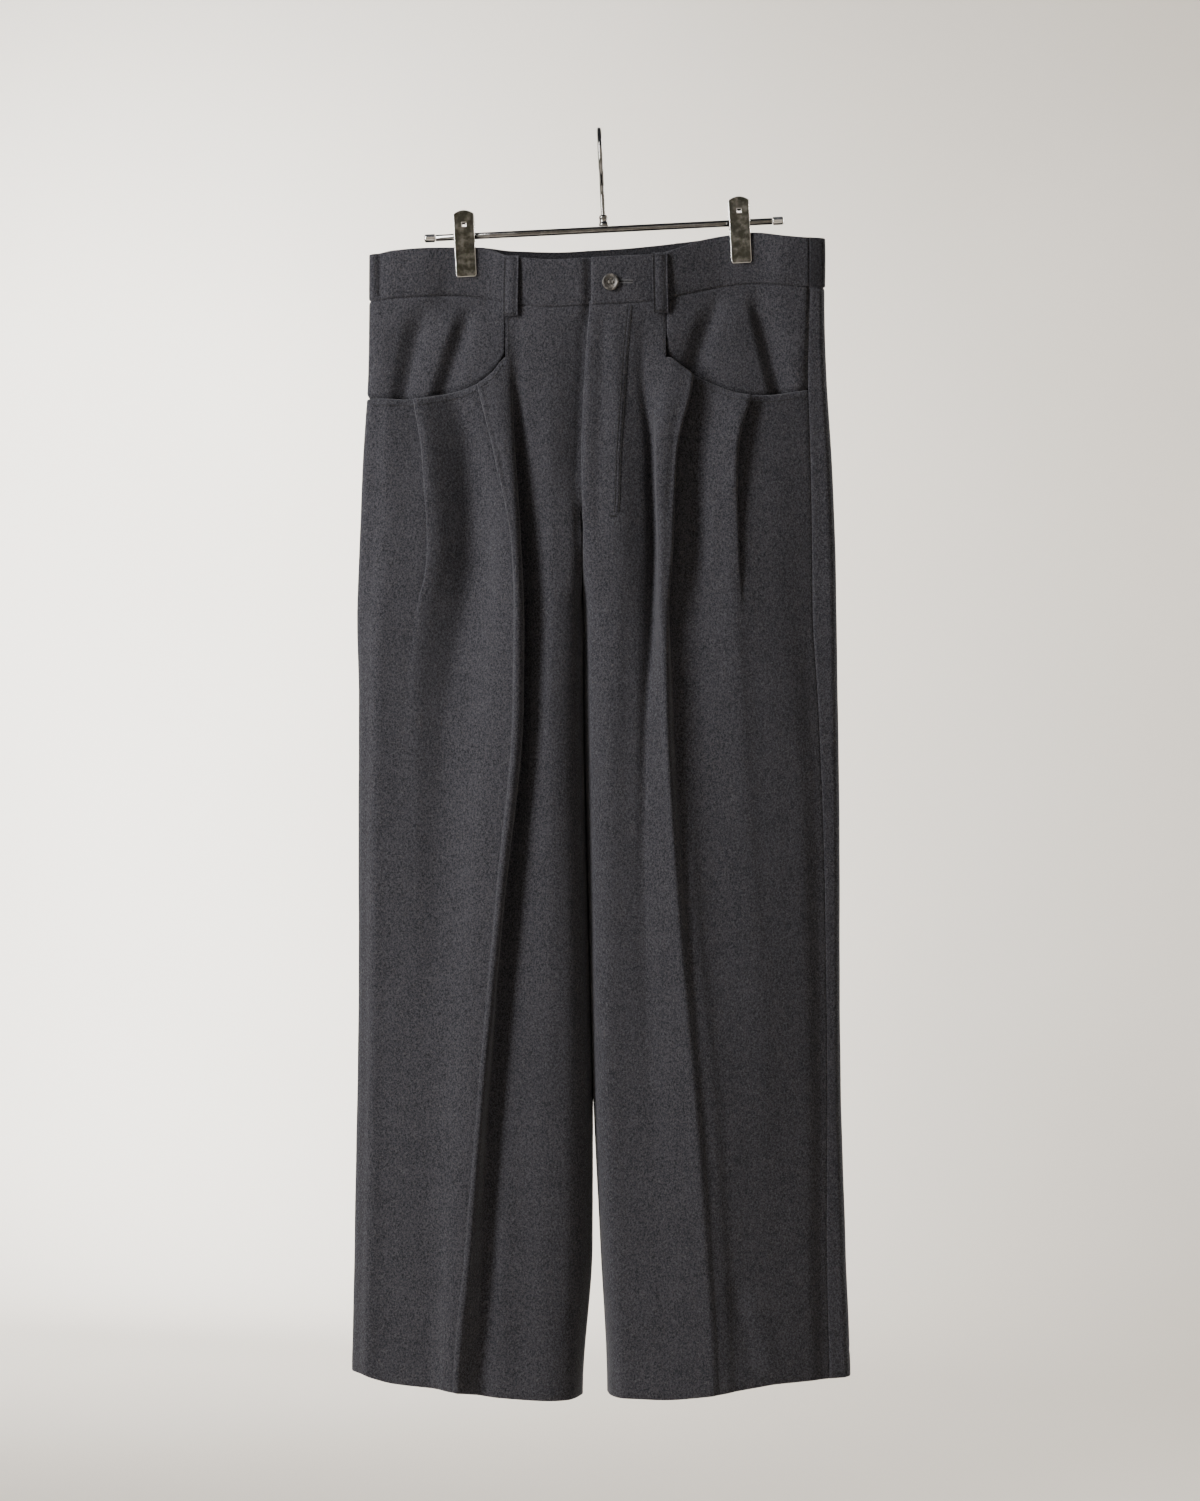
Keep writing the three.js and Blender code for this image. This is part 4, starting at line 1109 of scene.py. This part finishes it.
right_turn = smooth_spots([(-203, 4), (-205.6, 1), (-203.5, -3), (-197.5, float(band_front_y(-197.5)))])
tucked = [(x, float(tucked_y(x))) for x in along(-195, UNDERLAP_END)]
left_spots = [(x, float(band_front_y(x))) for x in along(FLY_EDGE, 189)]
left_turn = smooth_spots([(189, -5.2), (196, -4), (201, -2), (202.4, 1.2), (199.5, 4.4), (193, 5.2)])
behind = [(x, float(band_line("back", x))) for x in along(189, -193)]
rear_turn = smooth_spots([(-195.5, 4.6), (-199.5, 5.2), (-203, 4)])
back_spots = left_turn + behind + rear_turn
BAND_CREASES = [(-135, 104, -150, 150, 5, 1.0), (-98, 104, -90, 150, 5, -0.8), (126, 92, 140, 138, 5, -0.9)]

band("right_front_waistband_cloth", right_turn + tucked, "top", "bottom", BAND_CREASES, (False, True))
left_band = band("left_front_waistband_cloth", left_spots, "top", "bottom", BAND_CREASES, (True, False))
band("back_waistband_cloth", back_spots, "back_top", "back_bottom", (), (False, False), -1)

# %% [markdown]
# A belt loop is a narrow strip folded in three and stitched along both sides. The two rows
# of stitches draw it in, so its middle stands a little higher than the rows beside it. It is
# sewn on at its top and bottom and bows away from the band between.

# %% Belt loops
LOOP_WIDE = 14
LOOP_CLOTH = 1.5
LOOP_OVERLAP = 12
LOOP_BOW = 1.4
LOOP_STEP = 1.1
LOOP_ROW = 5
LOOP_CUT = 0.0135
LOOP_SPOTS = {"right_front": -79.2, "left_front": 55, "right_back": -76, "centre_back": -4, "left_back": 76}


def loop_lean(t, x):
    return 0.5 * math.sin(2.4 * t + x)


def belt_loop(name, x, on_front):
    way = 1 if on_front else -1
    top = band_line("top" if on_front else "back_top", x) + 0.2
    bottom = band_line("bottom" if on_front else "back_bottom", x) + LOOP_OVERLAP
    lift = BAND_CLOTH / 2 + LOOP_CLOTH / 2 + 0.45
    rows = []
    for t in np.linspace(0, 1, 26):
        bow = LOOP_BOW * math.sin(math.pi * t) ** 0.7 + LOOP_STEP * t
        ends = math.sqrt(max(0.02, 1 - (1 - min(1, min(t, 1 - t) * 30)) ** 2))
        lean = loop_lean(t, x)
        ring = []
        for turn in np.linspace(0, 2 * math.pi, 33)[:-1]:
            c, s = math.cos(turn), math.sin(turn)
            across = LOOP_WIDE / 2 * np.sign(c) * abs(c) ** 0.35
            raised = LOOP_CLOTH / 2 * np.sign(s) * abs(s) ** 0.35 * ends
            rows_near = math.exp(-(((abs(across) - LOOP_ROW) / 0.7) ** 2))
            raised += (0.3 - 1.0 * rows_near) * (s > 0) * ends
            at = x + way * across + lean
            on = band_line("front" if on_front else "back", at)
            ring.append((at, -way * (on + lift + bow + raised), -mix(top, bottom, t)))
        rows.append(ring + ring[:1])
    grid = np.array(rows)
    piece = closed(joined(name, [grid]))
    band_node = "left_front_waistband" if on_front else "back_waistband"
    cut(piece, (LOOP_CUT, round((bottom - top) * MM, 4)), [band_node])
    return dress(piece, name.replace("_cloth", ""), 0)


loops = {name: belt_loop(f"{name}_loop_cloth", x, "front" in name) for name, x in LOOP_SPOTS.items()}
print("belt loops:", len(loops))

# %% [markdown]
# Stitches are real threads here and not a painted line, so that they catch light from any
# side. A ray is sent at the cloth from in front, or from behind, to find where each point of
# a row lies, and each stitch is a short thread that dips into the cloth at both ends. The
# thread has the cloth's own colour, a little darker, so that the rows show only from close by.

# %% Stitching
THREAD = 0.34
STITCH, STITCH_GAP = 2.9, 0.5


def cloth_tree():
    """One search tree over the faces of all the cloth, with its thickness."""
    graph = bpy.context.evaluated_depsgraph_get()
    points, faces = [], []
    for piece in cloth_pieces:
        shown = piece.evaluated_get(graph)
        mesh = shown.to_mesh()
        start = len(points)
        points += [shown.matrix_world @ v.co for v in mesh.vertices]
        faces += [tuple(start + k for k in face.vertices) for face in mesh.polygons]
        shown.to_mesh_clear()
    return BVHTree.FromPolygons(points, faces)


surface = cloth_tree()


def on_cloth(x, down, way=1):
    """The place and normal of the cloth at x and down, seen from the front (way 1) or back."""
    spot, normal, _, _ = surface.ray_cast(Vector((x * MM, -0.4 * way, -down * MM)), Vector((0, way, 0)))
    if spot is None:
        return None
    if normal.y * way > 0:
        normal = -normal
    return np.array(spot) / MM, np.array(normal)


def tube_grid(line, radii, around=6):
    """Rings of points round a line in mm."""
    line = np.asarray(line, float)
    tangent = np.gradient(line, axis=0)
    tangent /= np.maximum(np.linalg.norm(tangent, axis=1, keepdims=True), 1e-9)
    side = np.cross(tangent[0], (0.31, 0.9, 0.29))
    rings = []
    for spot, ahead, radius in zip(line, tangent, radii):
        side = side - ahead * side.dot(ahead)
        side /= np.linalg.norm(side)
        up = np.cross(ahead, side)
        turns = np.linspace(0, 2 * math.pi, around + 1)[:, None]
        rings.append(spot + radius * (np.cos(turns) * side + np.sin(turns) * up))
    return np.array(rings)


def sew_on(piece, host, material):
    """Puts stitching or another trim on the sheet that carries it."""
    piece.data.materials.append(material)
    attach(piece, "root")
    host_with.setdefault(host.name, []).append(piece)
    return piece


host_with = {}
thread_finish = Shader("sewing_thread")
twist = thread_finish.noise(0.0004, 2)
thread_material = thread_finish.finish(
    Base_Color=thread_finish.blend(twist, (0.003, 0.003, 0.004), (0.009, 0.009, 0.011)), Roughness=0.85
)


def run_along(path):
    """How far along a path each of its points lies."""
    return np.concatenate([[0], np.cumsum(np.linalg.norm(np.diff(path, axis=0), axis=1))])


def sewn(name, paths, host, way=1, stitch=STITCH, gap=STITCH_GAP, radius=THREAD, material=thread_material):
    """Rows of stitches along paths of (x, down) points."""
    grids = []
    for path in paths:
        path = np.array(path, float)
        run = run_along(path)
        start = 0.0
        while start + stitch * 0.6 < run[-1]:
            spots = []
            for share in (0, 0.18, 0.5, 0.82, 1):
                at = start + share * stitch
                found = on_cloth(np.interp(at, run, path[:, 0]), np.interp(at, run, path[:, 1]), way)
                if found:
                    rise = radius * (-0.6 + 1.35 * math.sin(math.pi * share) ** 0.5)
                    spots.append(found[0] + found[1] * rise)
            jump = max((np.linalg.norm(b - a) for a, b in zip(spots, spots[1:])), default=9)
            if len(spots) == 5 and jump < stitch:
                grids.append(tube_grid(spots, [radius * 0.7, radius, radius, radius, radius * 0.7]))
            start += stitch + gap
    print(name, "stitches", len(grids))
    return sew_on(joined(name, grids), host, material)


def welt(name, path, host, wide=3.6, high=0.7):
    """A low ridge along a path of (x, down) points, where two rows of stitches draw the cloth up."""
    path = np.array(path, float)
    run = run_along(path)
    rows = []
    for at in np.arange(0, run[-1], 1.4):
        x, down = np.interp(at, run, path[:, 0]), np.interp(at, run, path[:, 1])
        line = []
        for across in np.linspace(-wide / 2, wide / 2, 9):
            found = on_cloth(x + across, down)
            rise = high * max(0.0, math.cos(math.pi * across / wide)) ** 0.6 - 0.2
            line.append(found[0] + found[1] * rise)
        rows.append(line)
    print(name, "rows", len(rows))
    return sew_on(joined(name, [np.array(rows)]), host, nap)


fly_line = [(27.6, 158), (26.0, 176), (23.6, 200), (21.4, 236), (18.8, 270), (17.2, 300)]
fly_line += [(16.4, 334), (15.2, 345)]
fly_rows = [[(x + shift, down) for x, down in fly_line] for shift in (-1.9, 1.9)]
welt("fly_welt", fly_line, left_front)
sewn("fly_stitching", fly_rows, left_front, 1, STITCH, STITCH_GAP, 0.5)


def offset_edge(table, side, first, last, below):
    """A row that follows a pocket mouth, "below" mm under its edge."""
    return [(side * out, float(edge(table)(out)) + below) for out in np.linspace(first, last, 40)]


sewn("right_mouth_stitching", [offset_edge(RIGHT_MOUTH, -1, 86, 205, 3.6)], right_front)
sewn("left_mouth_stitching", [offset_edge(LEFT_MOUTH, 1, 63, 187, 3.6)], left_front)
sewn("right_strip_stitching", [[(-81.4, 168), (-81.2, 190), (-81.4, 204)]], right_front)
sewn("left_strip_stitching", [[(57.9, 166), (57.8, 190), (58.0, 204)]], left_front)
for name, x in LOOP_SPOTS.items():
    way = 1 if "front" in name else -1
    top = float(band_line("top" if way > 0 else "back_top", x)) + 2
    bottom = float(band_line("bottom" if way > 0 else "back_bottom", x)) + LOOP_OVERLAP - 1.5
    rows = []
    for shift in (-LOOP_ROW, LOOP_ROW):
        rows.append([(x + shift + loop_lean(t, x), mix(top, bottom, t)) for t in np.linspace(0, 1, 14)])
    rows += [[(x - 5.2, bottom - 0.6), (x + 5.2, bottom - 0.6)], [(x - 5.2, top + 0.6), (x + 5.2, top + 0.6)]]
    sewn(f"{name}_loop_stitching", rows, loops[name], way)

bartack = []
for k in range(18):
    odd = 0.9 * (k % 2)
    bartack.append([(9.8 + 0.35 * k, 346.4 + odd), (10.6 + 0.35 * k, 348.6 - odd)])
sewn("fly_bartack", bartack, left_front, 1, 1.9, 0.5, 0.26)

# %% [markdown]
# The buttonhole is a slit edged with thread, worked so closely that it reads as two raised
# lips along a dark line. Its thread is paler than the cloth, and so a little easier to see. The
# dark line itself is painted shade: a row of the dark thread laid along the slit.

# %% Buttonhole
HOLE_DOWN = 136.6
HOLE_FIRST, HOLE_LAST = 17.5, 30.2
lips = []
for x in np.arange(HOLE_FIRST, HOLE_LAST, 0.42):
    for side in (-1, 1):
        lips.append([(x, HOLE_DOWN + side * 0.35), (x + 0.08, HOLE_DOWN + side * 1.75)])
edging = Shader("buttonhole_thread").finish(Base_Color=(0.060, 0.060, 0.066), Roughness=0.8)
sewn("buttonhole_edging", lips, left_band, 1, 1.4, 0.5, 0.25, edging)
# The slit is a row of dark thread: painted shade where the cut opens.
sewn("buttonhole_slit_painted_shade", [[(HOLE_FIRST, HOLE_DOWN), (HOLE_LAST, HOLE_DOWN)]], left_band, 1, 2.4, 0, 0.42)

# %% [markdown]
# The button is turned from horn: a raised rim, a dished middle and four holes. A disc of rings
# gives the dish, and the holes are cut with a Boolean modifier, which is then applied.

# %% Waist button
BUTTON_X, BUTTON_DOWN = 10.4, 137.3
HOLE_AT, HOLE_RADIUS = 1.55, 0.85

horn = Shader("dark_horn")
streaks = horn.noise(0.0022, 4, horn.place((1, 1, 3.2), (0.3, 0.2, 0.5)), 0.6).above(0.35, 0.7)
pale_streak = horn.noise(0.0045, 3, horn.place((1.0, 1.0, 2.0), (0.1, 0.6, 0.2))).above(0.55, 0.72)
horn_colour = horn.blend(streaks, (0.018, 0.017, 0.016), (0.066, 0.060, 0.054))
horn_material = horn.finish(
    Base_Color=horn.blend(0.6 * pale_streak, horn_colour, (0.24, 0.22, 0.20)), Roughness=0.42
)

profile = [(0, 1.9), (3.6, 1.95), (4.8, 2.3), (5.6, 2.85), (6.3, 3.0), (7.0, 2.85), (7.5, 2.35), (7.6, 1.7)]
profile += [(7.35, 0.9), (6.2, 0.25), (4.0, 0.0), (0, 0.0)]
button = turned("waist_button_horn", [(a * MM, b * MM) for a, b in profile], 48)
drill_profile = [(0, -2), (HOLE_RADIUS, -2), (HOLE_RADIUS, 5), (0, 5)]
for k, (across, up) in enumerate([(1, 1), (-1, 1), (-1, -1), (1, -1)]):
    drill = turned(f"drill_{k}", [(a * MM, b * MM) for a, b in drill_profile], 20)
    drill.location = (across * HOLE_AT * MM, up * HOLE_AT * MM, 0)
    boring = button.modifiers.new("hole", "BOOLEAN")
    boring.operation, boring.object, boring.solver = "DIFFERENCE", drill, "EXACT"
graph = bpy.context.evaluated_depsgraph_get()
bored = bpy.data.meshes.new_from_object(button.evaluated_get(graph))
button.modifiers.clear()
button.data = bored
for k in range(4):
    bpy.data.objects.remove(bpy.data.objects[f"drill_{k}"])
button.data.polygons.foreach_set("use_smooth", [True] * len(button.data.polygons))
button.data.materials.clear()
button.data.materials.append(horn_material)
button_face = float(band_line("front", BUTTON_X)) + BAND_CLOTH / 2 + 0.5
button.rotation_euler = (math.pi / 2, 0, 0)
button.location = (BUTTON_X * MM, -button_face * MM, -BUTTON_DOWN * MM)
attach(button, "root")
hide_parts("waist_button")

button_threads = []
for side in (-1, 1):
    for shift in (-0.28, 0.0, 0.28):
        line = []
        for t in np.linspace(-1, 1, 9):
            rise = 2.05 + 0.55 * (1 - t**4) - 1.2 * max(0.0, abs(t) - 0.85) * 6
            line.append((BUTTON_X + side * HOLE_AT + shift, -button_face - rise, -BUTTON_DOWN + t * HOLE_AT))
        button_threads.append(tube_grid(line, [0.2] * len(line)))
pale_thread = Shader("button_thread_finish").finish(Base_Color=(0.19, 0.18, 0.165), Roughness=0.8)
sewing = joined("button_thread", button_threads)
sewing.data.materials.append(pale_thread)
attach(sewing, "root")
print("button faces:", len(button.data.polygons))

# %% [markdown]
# The hanger is nickel-dark chrome: a mirror, so what it shows is mostly its surroundings. Its
# colour is kept dark, and only the two end caps are bright; the rounded edges of the clips take
# the same bright metal as a painted highlight. A fine noise in the roughness breaks up the
# reflections, as fingerprints and dust do.

# %% Metal finishes
def chrome(name, dark, pale, rough):
    made = Shader(name)
    smear = made.noise(0.006, 4, rough=0.6).above(0.4, 0.75)
    dust = made.noise(0.0009, 2).above(0.62, 0.8)
    return made.finish(
        Base_Color=made.blend(smear, dark, pale),
        Metallic=1.0,
        Roughness=(rough + 0.10 * smear + 0.12 * dust),
    )


dark_chrome = chrome("dark_chrome", (0.090, 0.094, 0.085), (0.30, 0.30, 0.28), 0.16)
bar_chrome = chrome("bar_chrome", (0.20, 0.197, 0.193), (0.29, 0.286, 0.28), 0.12)
# Bright metal for the end caps; on the clips' rounded edges it is a painted highlight.
bright_chrome = chrome("bright_chrome", (0.72, 0.71, 0.70), (0.84, 0.83, 0.82), 0.14)

# %% [markdown]
# The whole hanger is turned a little about the hook, because the trousers don't hang quite
# level. Its parts are built straight, in mm, and rolled together. The hook is one wire, carried
# along a line of points, and everything on the bar is turned on a lathe.

# %% Hook, ferrule and bar
HANGER_ROLL = math.radians(2.87)
WIRE = 4
HOOK_RADIUS = 24
HOOK_END = 75
BAR_DOWN = 88
BAR_LENGTH = 324
CAP_LENGTH = 10
CLIP_SPOTS = {"right": -125.5, "left": 122}


def rolled(points):
    points = np.asarray(points, float)
    c, s = math.cos(HANGER_ROLL), math.sin(HANGER_ROLL)
    x, z = points[..., 0] * c - points[..., 2] * s, points[..., 0] * s + points[..., 2] * c
    return np.stack([x, points[..., 1], z], -1)


def metal(piece, node, material):
    piece.data.materials.append(material)
    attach(piece, "root")
    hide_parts(node)
    return piece


def lathe_x(name, node, x, profile, material, around=40):
    """Turned round a line parallel to the bar; profile has (along, radius) in mm."""
    turns = np.linspace(0, 2 * math.pi, around + 1)
    grid = [[(x + a, r * math.cos(t), -BAR_DOWN + r * math.sin(t)) for t in turns] for a, r in profile]
    return metal(joined(name, [rolled(grid)]), node, material)


crook = [np.radians(a) for a in range(-25, 236, 13)]
route = [(0, HOOK_RADIUS * math.cos(t), HOOK_RADIUS * math.sin(t) - HOOK_RADIUS + WIRE / 2) for t in crook]
route += [(0, -6, -47.5), (0, -1.5, -54), (0, 0, -62), (0, 0, -HOOK_END)]
pairs = [(np.array([y]), np.array([z])) for _, y, z in route]
fine_route = [(0, y, z) for y, z in finer(pairs, 5)[0]]
radii = np.full(len(fine_route), WIRE / 2)
radii[:4] = [0.25, 1.3, 1.8, 1.97]
hook = joined("hanger_hook_wire", [rolled(tube_grid(fine_route, radii, 28))])
metal(hook, "hanger_hook", bar_chrome)

collar = [(0.2, -84.8), (4.0, -84.8), (4.3, -84.2), (4.3, -82.6), (3.6, -82.1), (3.6, -78.4), (4.0, -77.9)]
collar += [(4.0, -76.6), (3.4, -75.4), (2.1, -74.8), (0.2, -74.8)]
turns = np.linspace(0, 2 * math.pi, 41)
ferrule_grid = [[(rad * math.cos(t), rad * math.sin(t), z) for t in turns] for rad, z in collar]
metal(joined("hanger_ferrule_collar", [rolled(ferrule_grid)]), "hanger_ferrule", bar_chrome)

half_bar = BAR_LENGTH / 2 - CAP_LENGTH - 0.3
bar_profile = [(-half_bar, 0.05), (-half_bar, 2.5), (-half_bar + 0.5, 3.0), (half_bar - 0.5, 3.0)]
bar_profile += [(half_bar, 2.5), (half_bar, 0.05)]
lathe_x("hanger_bar_tube", "hanger_bar", 0, bar_profile, bar_chrome)
cap_profile = [(-5, 0.05), (-5, 3.3), (-4.6, 3.75), (-3.9, 3.8), (3.4, 3.8), (4.4, 3.3)]
cap_profile += [(4.9, 2.2), (5, 0.05)]
for side, way in (("right", -1), ("left", 1)):
    profile = [(way * a, rad) for a, rad in cap_profile]
    at = way * (BAR_LENGTH / 2 - CAP_LENGTH / 2)
    lathe_x(f"hanger_cap_{side}_end", f"hanger_cap_{side}", at, profile, bright_chrome)

# %% [markdown]
# Each clip is two sprung plates with a barrel between them that slides on the bar. A plate is
# drawn as a flat outline with its window, and a curve object with a small bevel turns it into
# a plate with rounded edges. The rounded edges take the bright metal as a painted highlight,
# the glint along an edge that catches the light.

# %% Clips
CLIP_WIDE, CLIP_TALL, CLIP_THICK = 18.5, 60, 1.4
CLIP_TOP_DOWN = 65
CLIP_WINDOW = 6
PINCH = 3.5
BARREL_DIAMETER = 10.6
EDGE = 0.6


def plate_mesh(name):
    """A flat plate with an arched top and a window, and rounded edges."""
    half, w, middle = CLIP_WIDE / 2 - EDGE, CLIP_WINDOW / 2 - EDGE, CLIP_TALL - 13
    outline = [(-half + 1, EDGE), (half - 1, EDGE), (half, 2)]
    arch = np.linspace(half, -half, 17)
    outline += [(a, CLIP_TALL - 3 + 3 * (1 - (a / half) ** 2) - EDGE) for a in arch]
    outline.append((-half, 2))
    window_outline = [(-w, middle - w), (-w, middle + w), (w, middle + w), (w, middle - w)]
    shape = bpy.data.curves.new(name, "CURVE")
    shape.dimensions, shape.fill_mode = "2D", "BOTH"
    shape.extrude = (CLIP_THICK / 2 - EDGE) * MM
    shape.bevel_depth, shape.bevel_resolution = EDGE * MM, 3
    for corners in (outline, window_outline):
        spline = shape.splines.new("POLY")
        spline.points.add(len(corners) - 1)
        for point, (a, b) in zip(spline.points, corners):
            point.co = (a * MM, b * MM, 0, 1)
        spline.use_cyclic_u = True
    drawn = bpy.data.objects.new(name + "_outline", shape)
    bpy.context.scene.collection.objects.link(drawn)
    mesh = bpy.data.meshes.new_from_object(drawn.evaluated_get(bpy.context.evaluated_depsgraph_get()))
    bpy.data.objects.remove(drawn)
    return mesh


def plate(name, node, x, way):
    """A plate in its place, leaning from its barrel to the band; way is 1 in front."""
    mesh = plate_mesh(name)
    jaw = PINCH + BAND_CLOTH / 2 + 0.5
    at_barrel = BARREL_DIAMETER / 2 + 0.3
    lean = math.atan2(at_barrel - jaw, CLIP_TOP_DOWN + CLIP_TALL - BAR_DOWN)
    spots = np.array([v.co for v in mesh.vertices]) / MM
    depth = spots[:, 2] + way * CLIP_THICK / 2
    tilt = math.pi / 2 + way * lean
    y = spots[:, 1] * math.cos(tilt) - depth * math.sin(tilt)
    z = spots[:, 1] * math.sin(tilt) + depth * math.cos(tilt)
    placed = rolled(np.stack([spots[:, 0] + x, y - way * jaw, z - CLIP_TOP_DOWN - CLIP_TALL], 1))
    mesh.vertices.foreach_set("co", (placed * MM).ravel())
    mesh.update()
    piece = bpy.data.objects.new(name, mesh)
    bpy.context.scene.collection.objects.link(piece)
    mesh.materials.clear()
    metal(piece, node, dark_chrome)
    mesh.materials.append(bright_chrome)
    tidy = bmesh.new()
    tidy.from_mesh(mesh)
    bmesh.ops.remove_doubles(tidy, verts=tidy.verts, dist=2e-6)
    bmesh.ops.recalc_face_normals(tidy, faces=tidy.faces)
    tidy.faces.ensure_lookup_table()
    # Rounded edge faces take the second, bright metal: a painted highlight along the edges.
    for face in tidy.faces:
        flat = abs(face.normal.y) > 0.985
        face.material_index = 0 if flat else 1
        face.smooth = not flat
    tidy.to_mesh(mesh)
    tidy.free()
    return piece


barrel_profile = [(-6.5, 3.35), (-6.5, 4.9), (-6.1, 5.3), (6.1, 5.3), (6.5, 4.9), (6.5, 3.35), (-6.5, 3.35)]
for side, x in CLIP_SPOTS.items():
    plate(f"clip_front_{side}_plate", f"clip_front_{side}", x, 1)
    plate(f"clip_back_{side}_plate", f"clip_back_{side}", x, -1)
    lathe_x(f"clip_barrel_{side}_tube", f"clip_barrel_{side}", x, barrel_profile, dark_chrome)
print("clips:", len(CLIP_SPOTS))

# %% [markdown]
# Every sheet of cloth is noted in a table with how large it was cut and what holds it up, and
# its flat size is printed. The flat sizes are measured along the cloth itself, folds and turned
# edges included.

# %% Flat sizes
host_with.setdefault("left_front_waistband_cloth", []).append(sewing)
for name, (piece, flat, area, rests_on) in flat_cuts.items():
    print(name, "flat", flat, "area", None if area is None else round(area, 4))
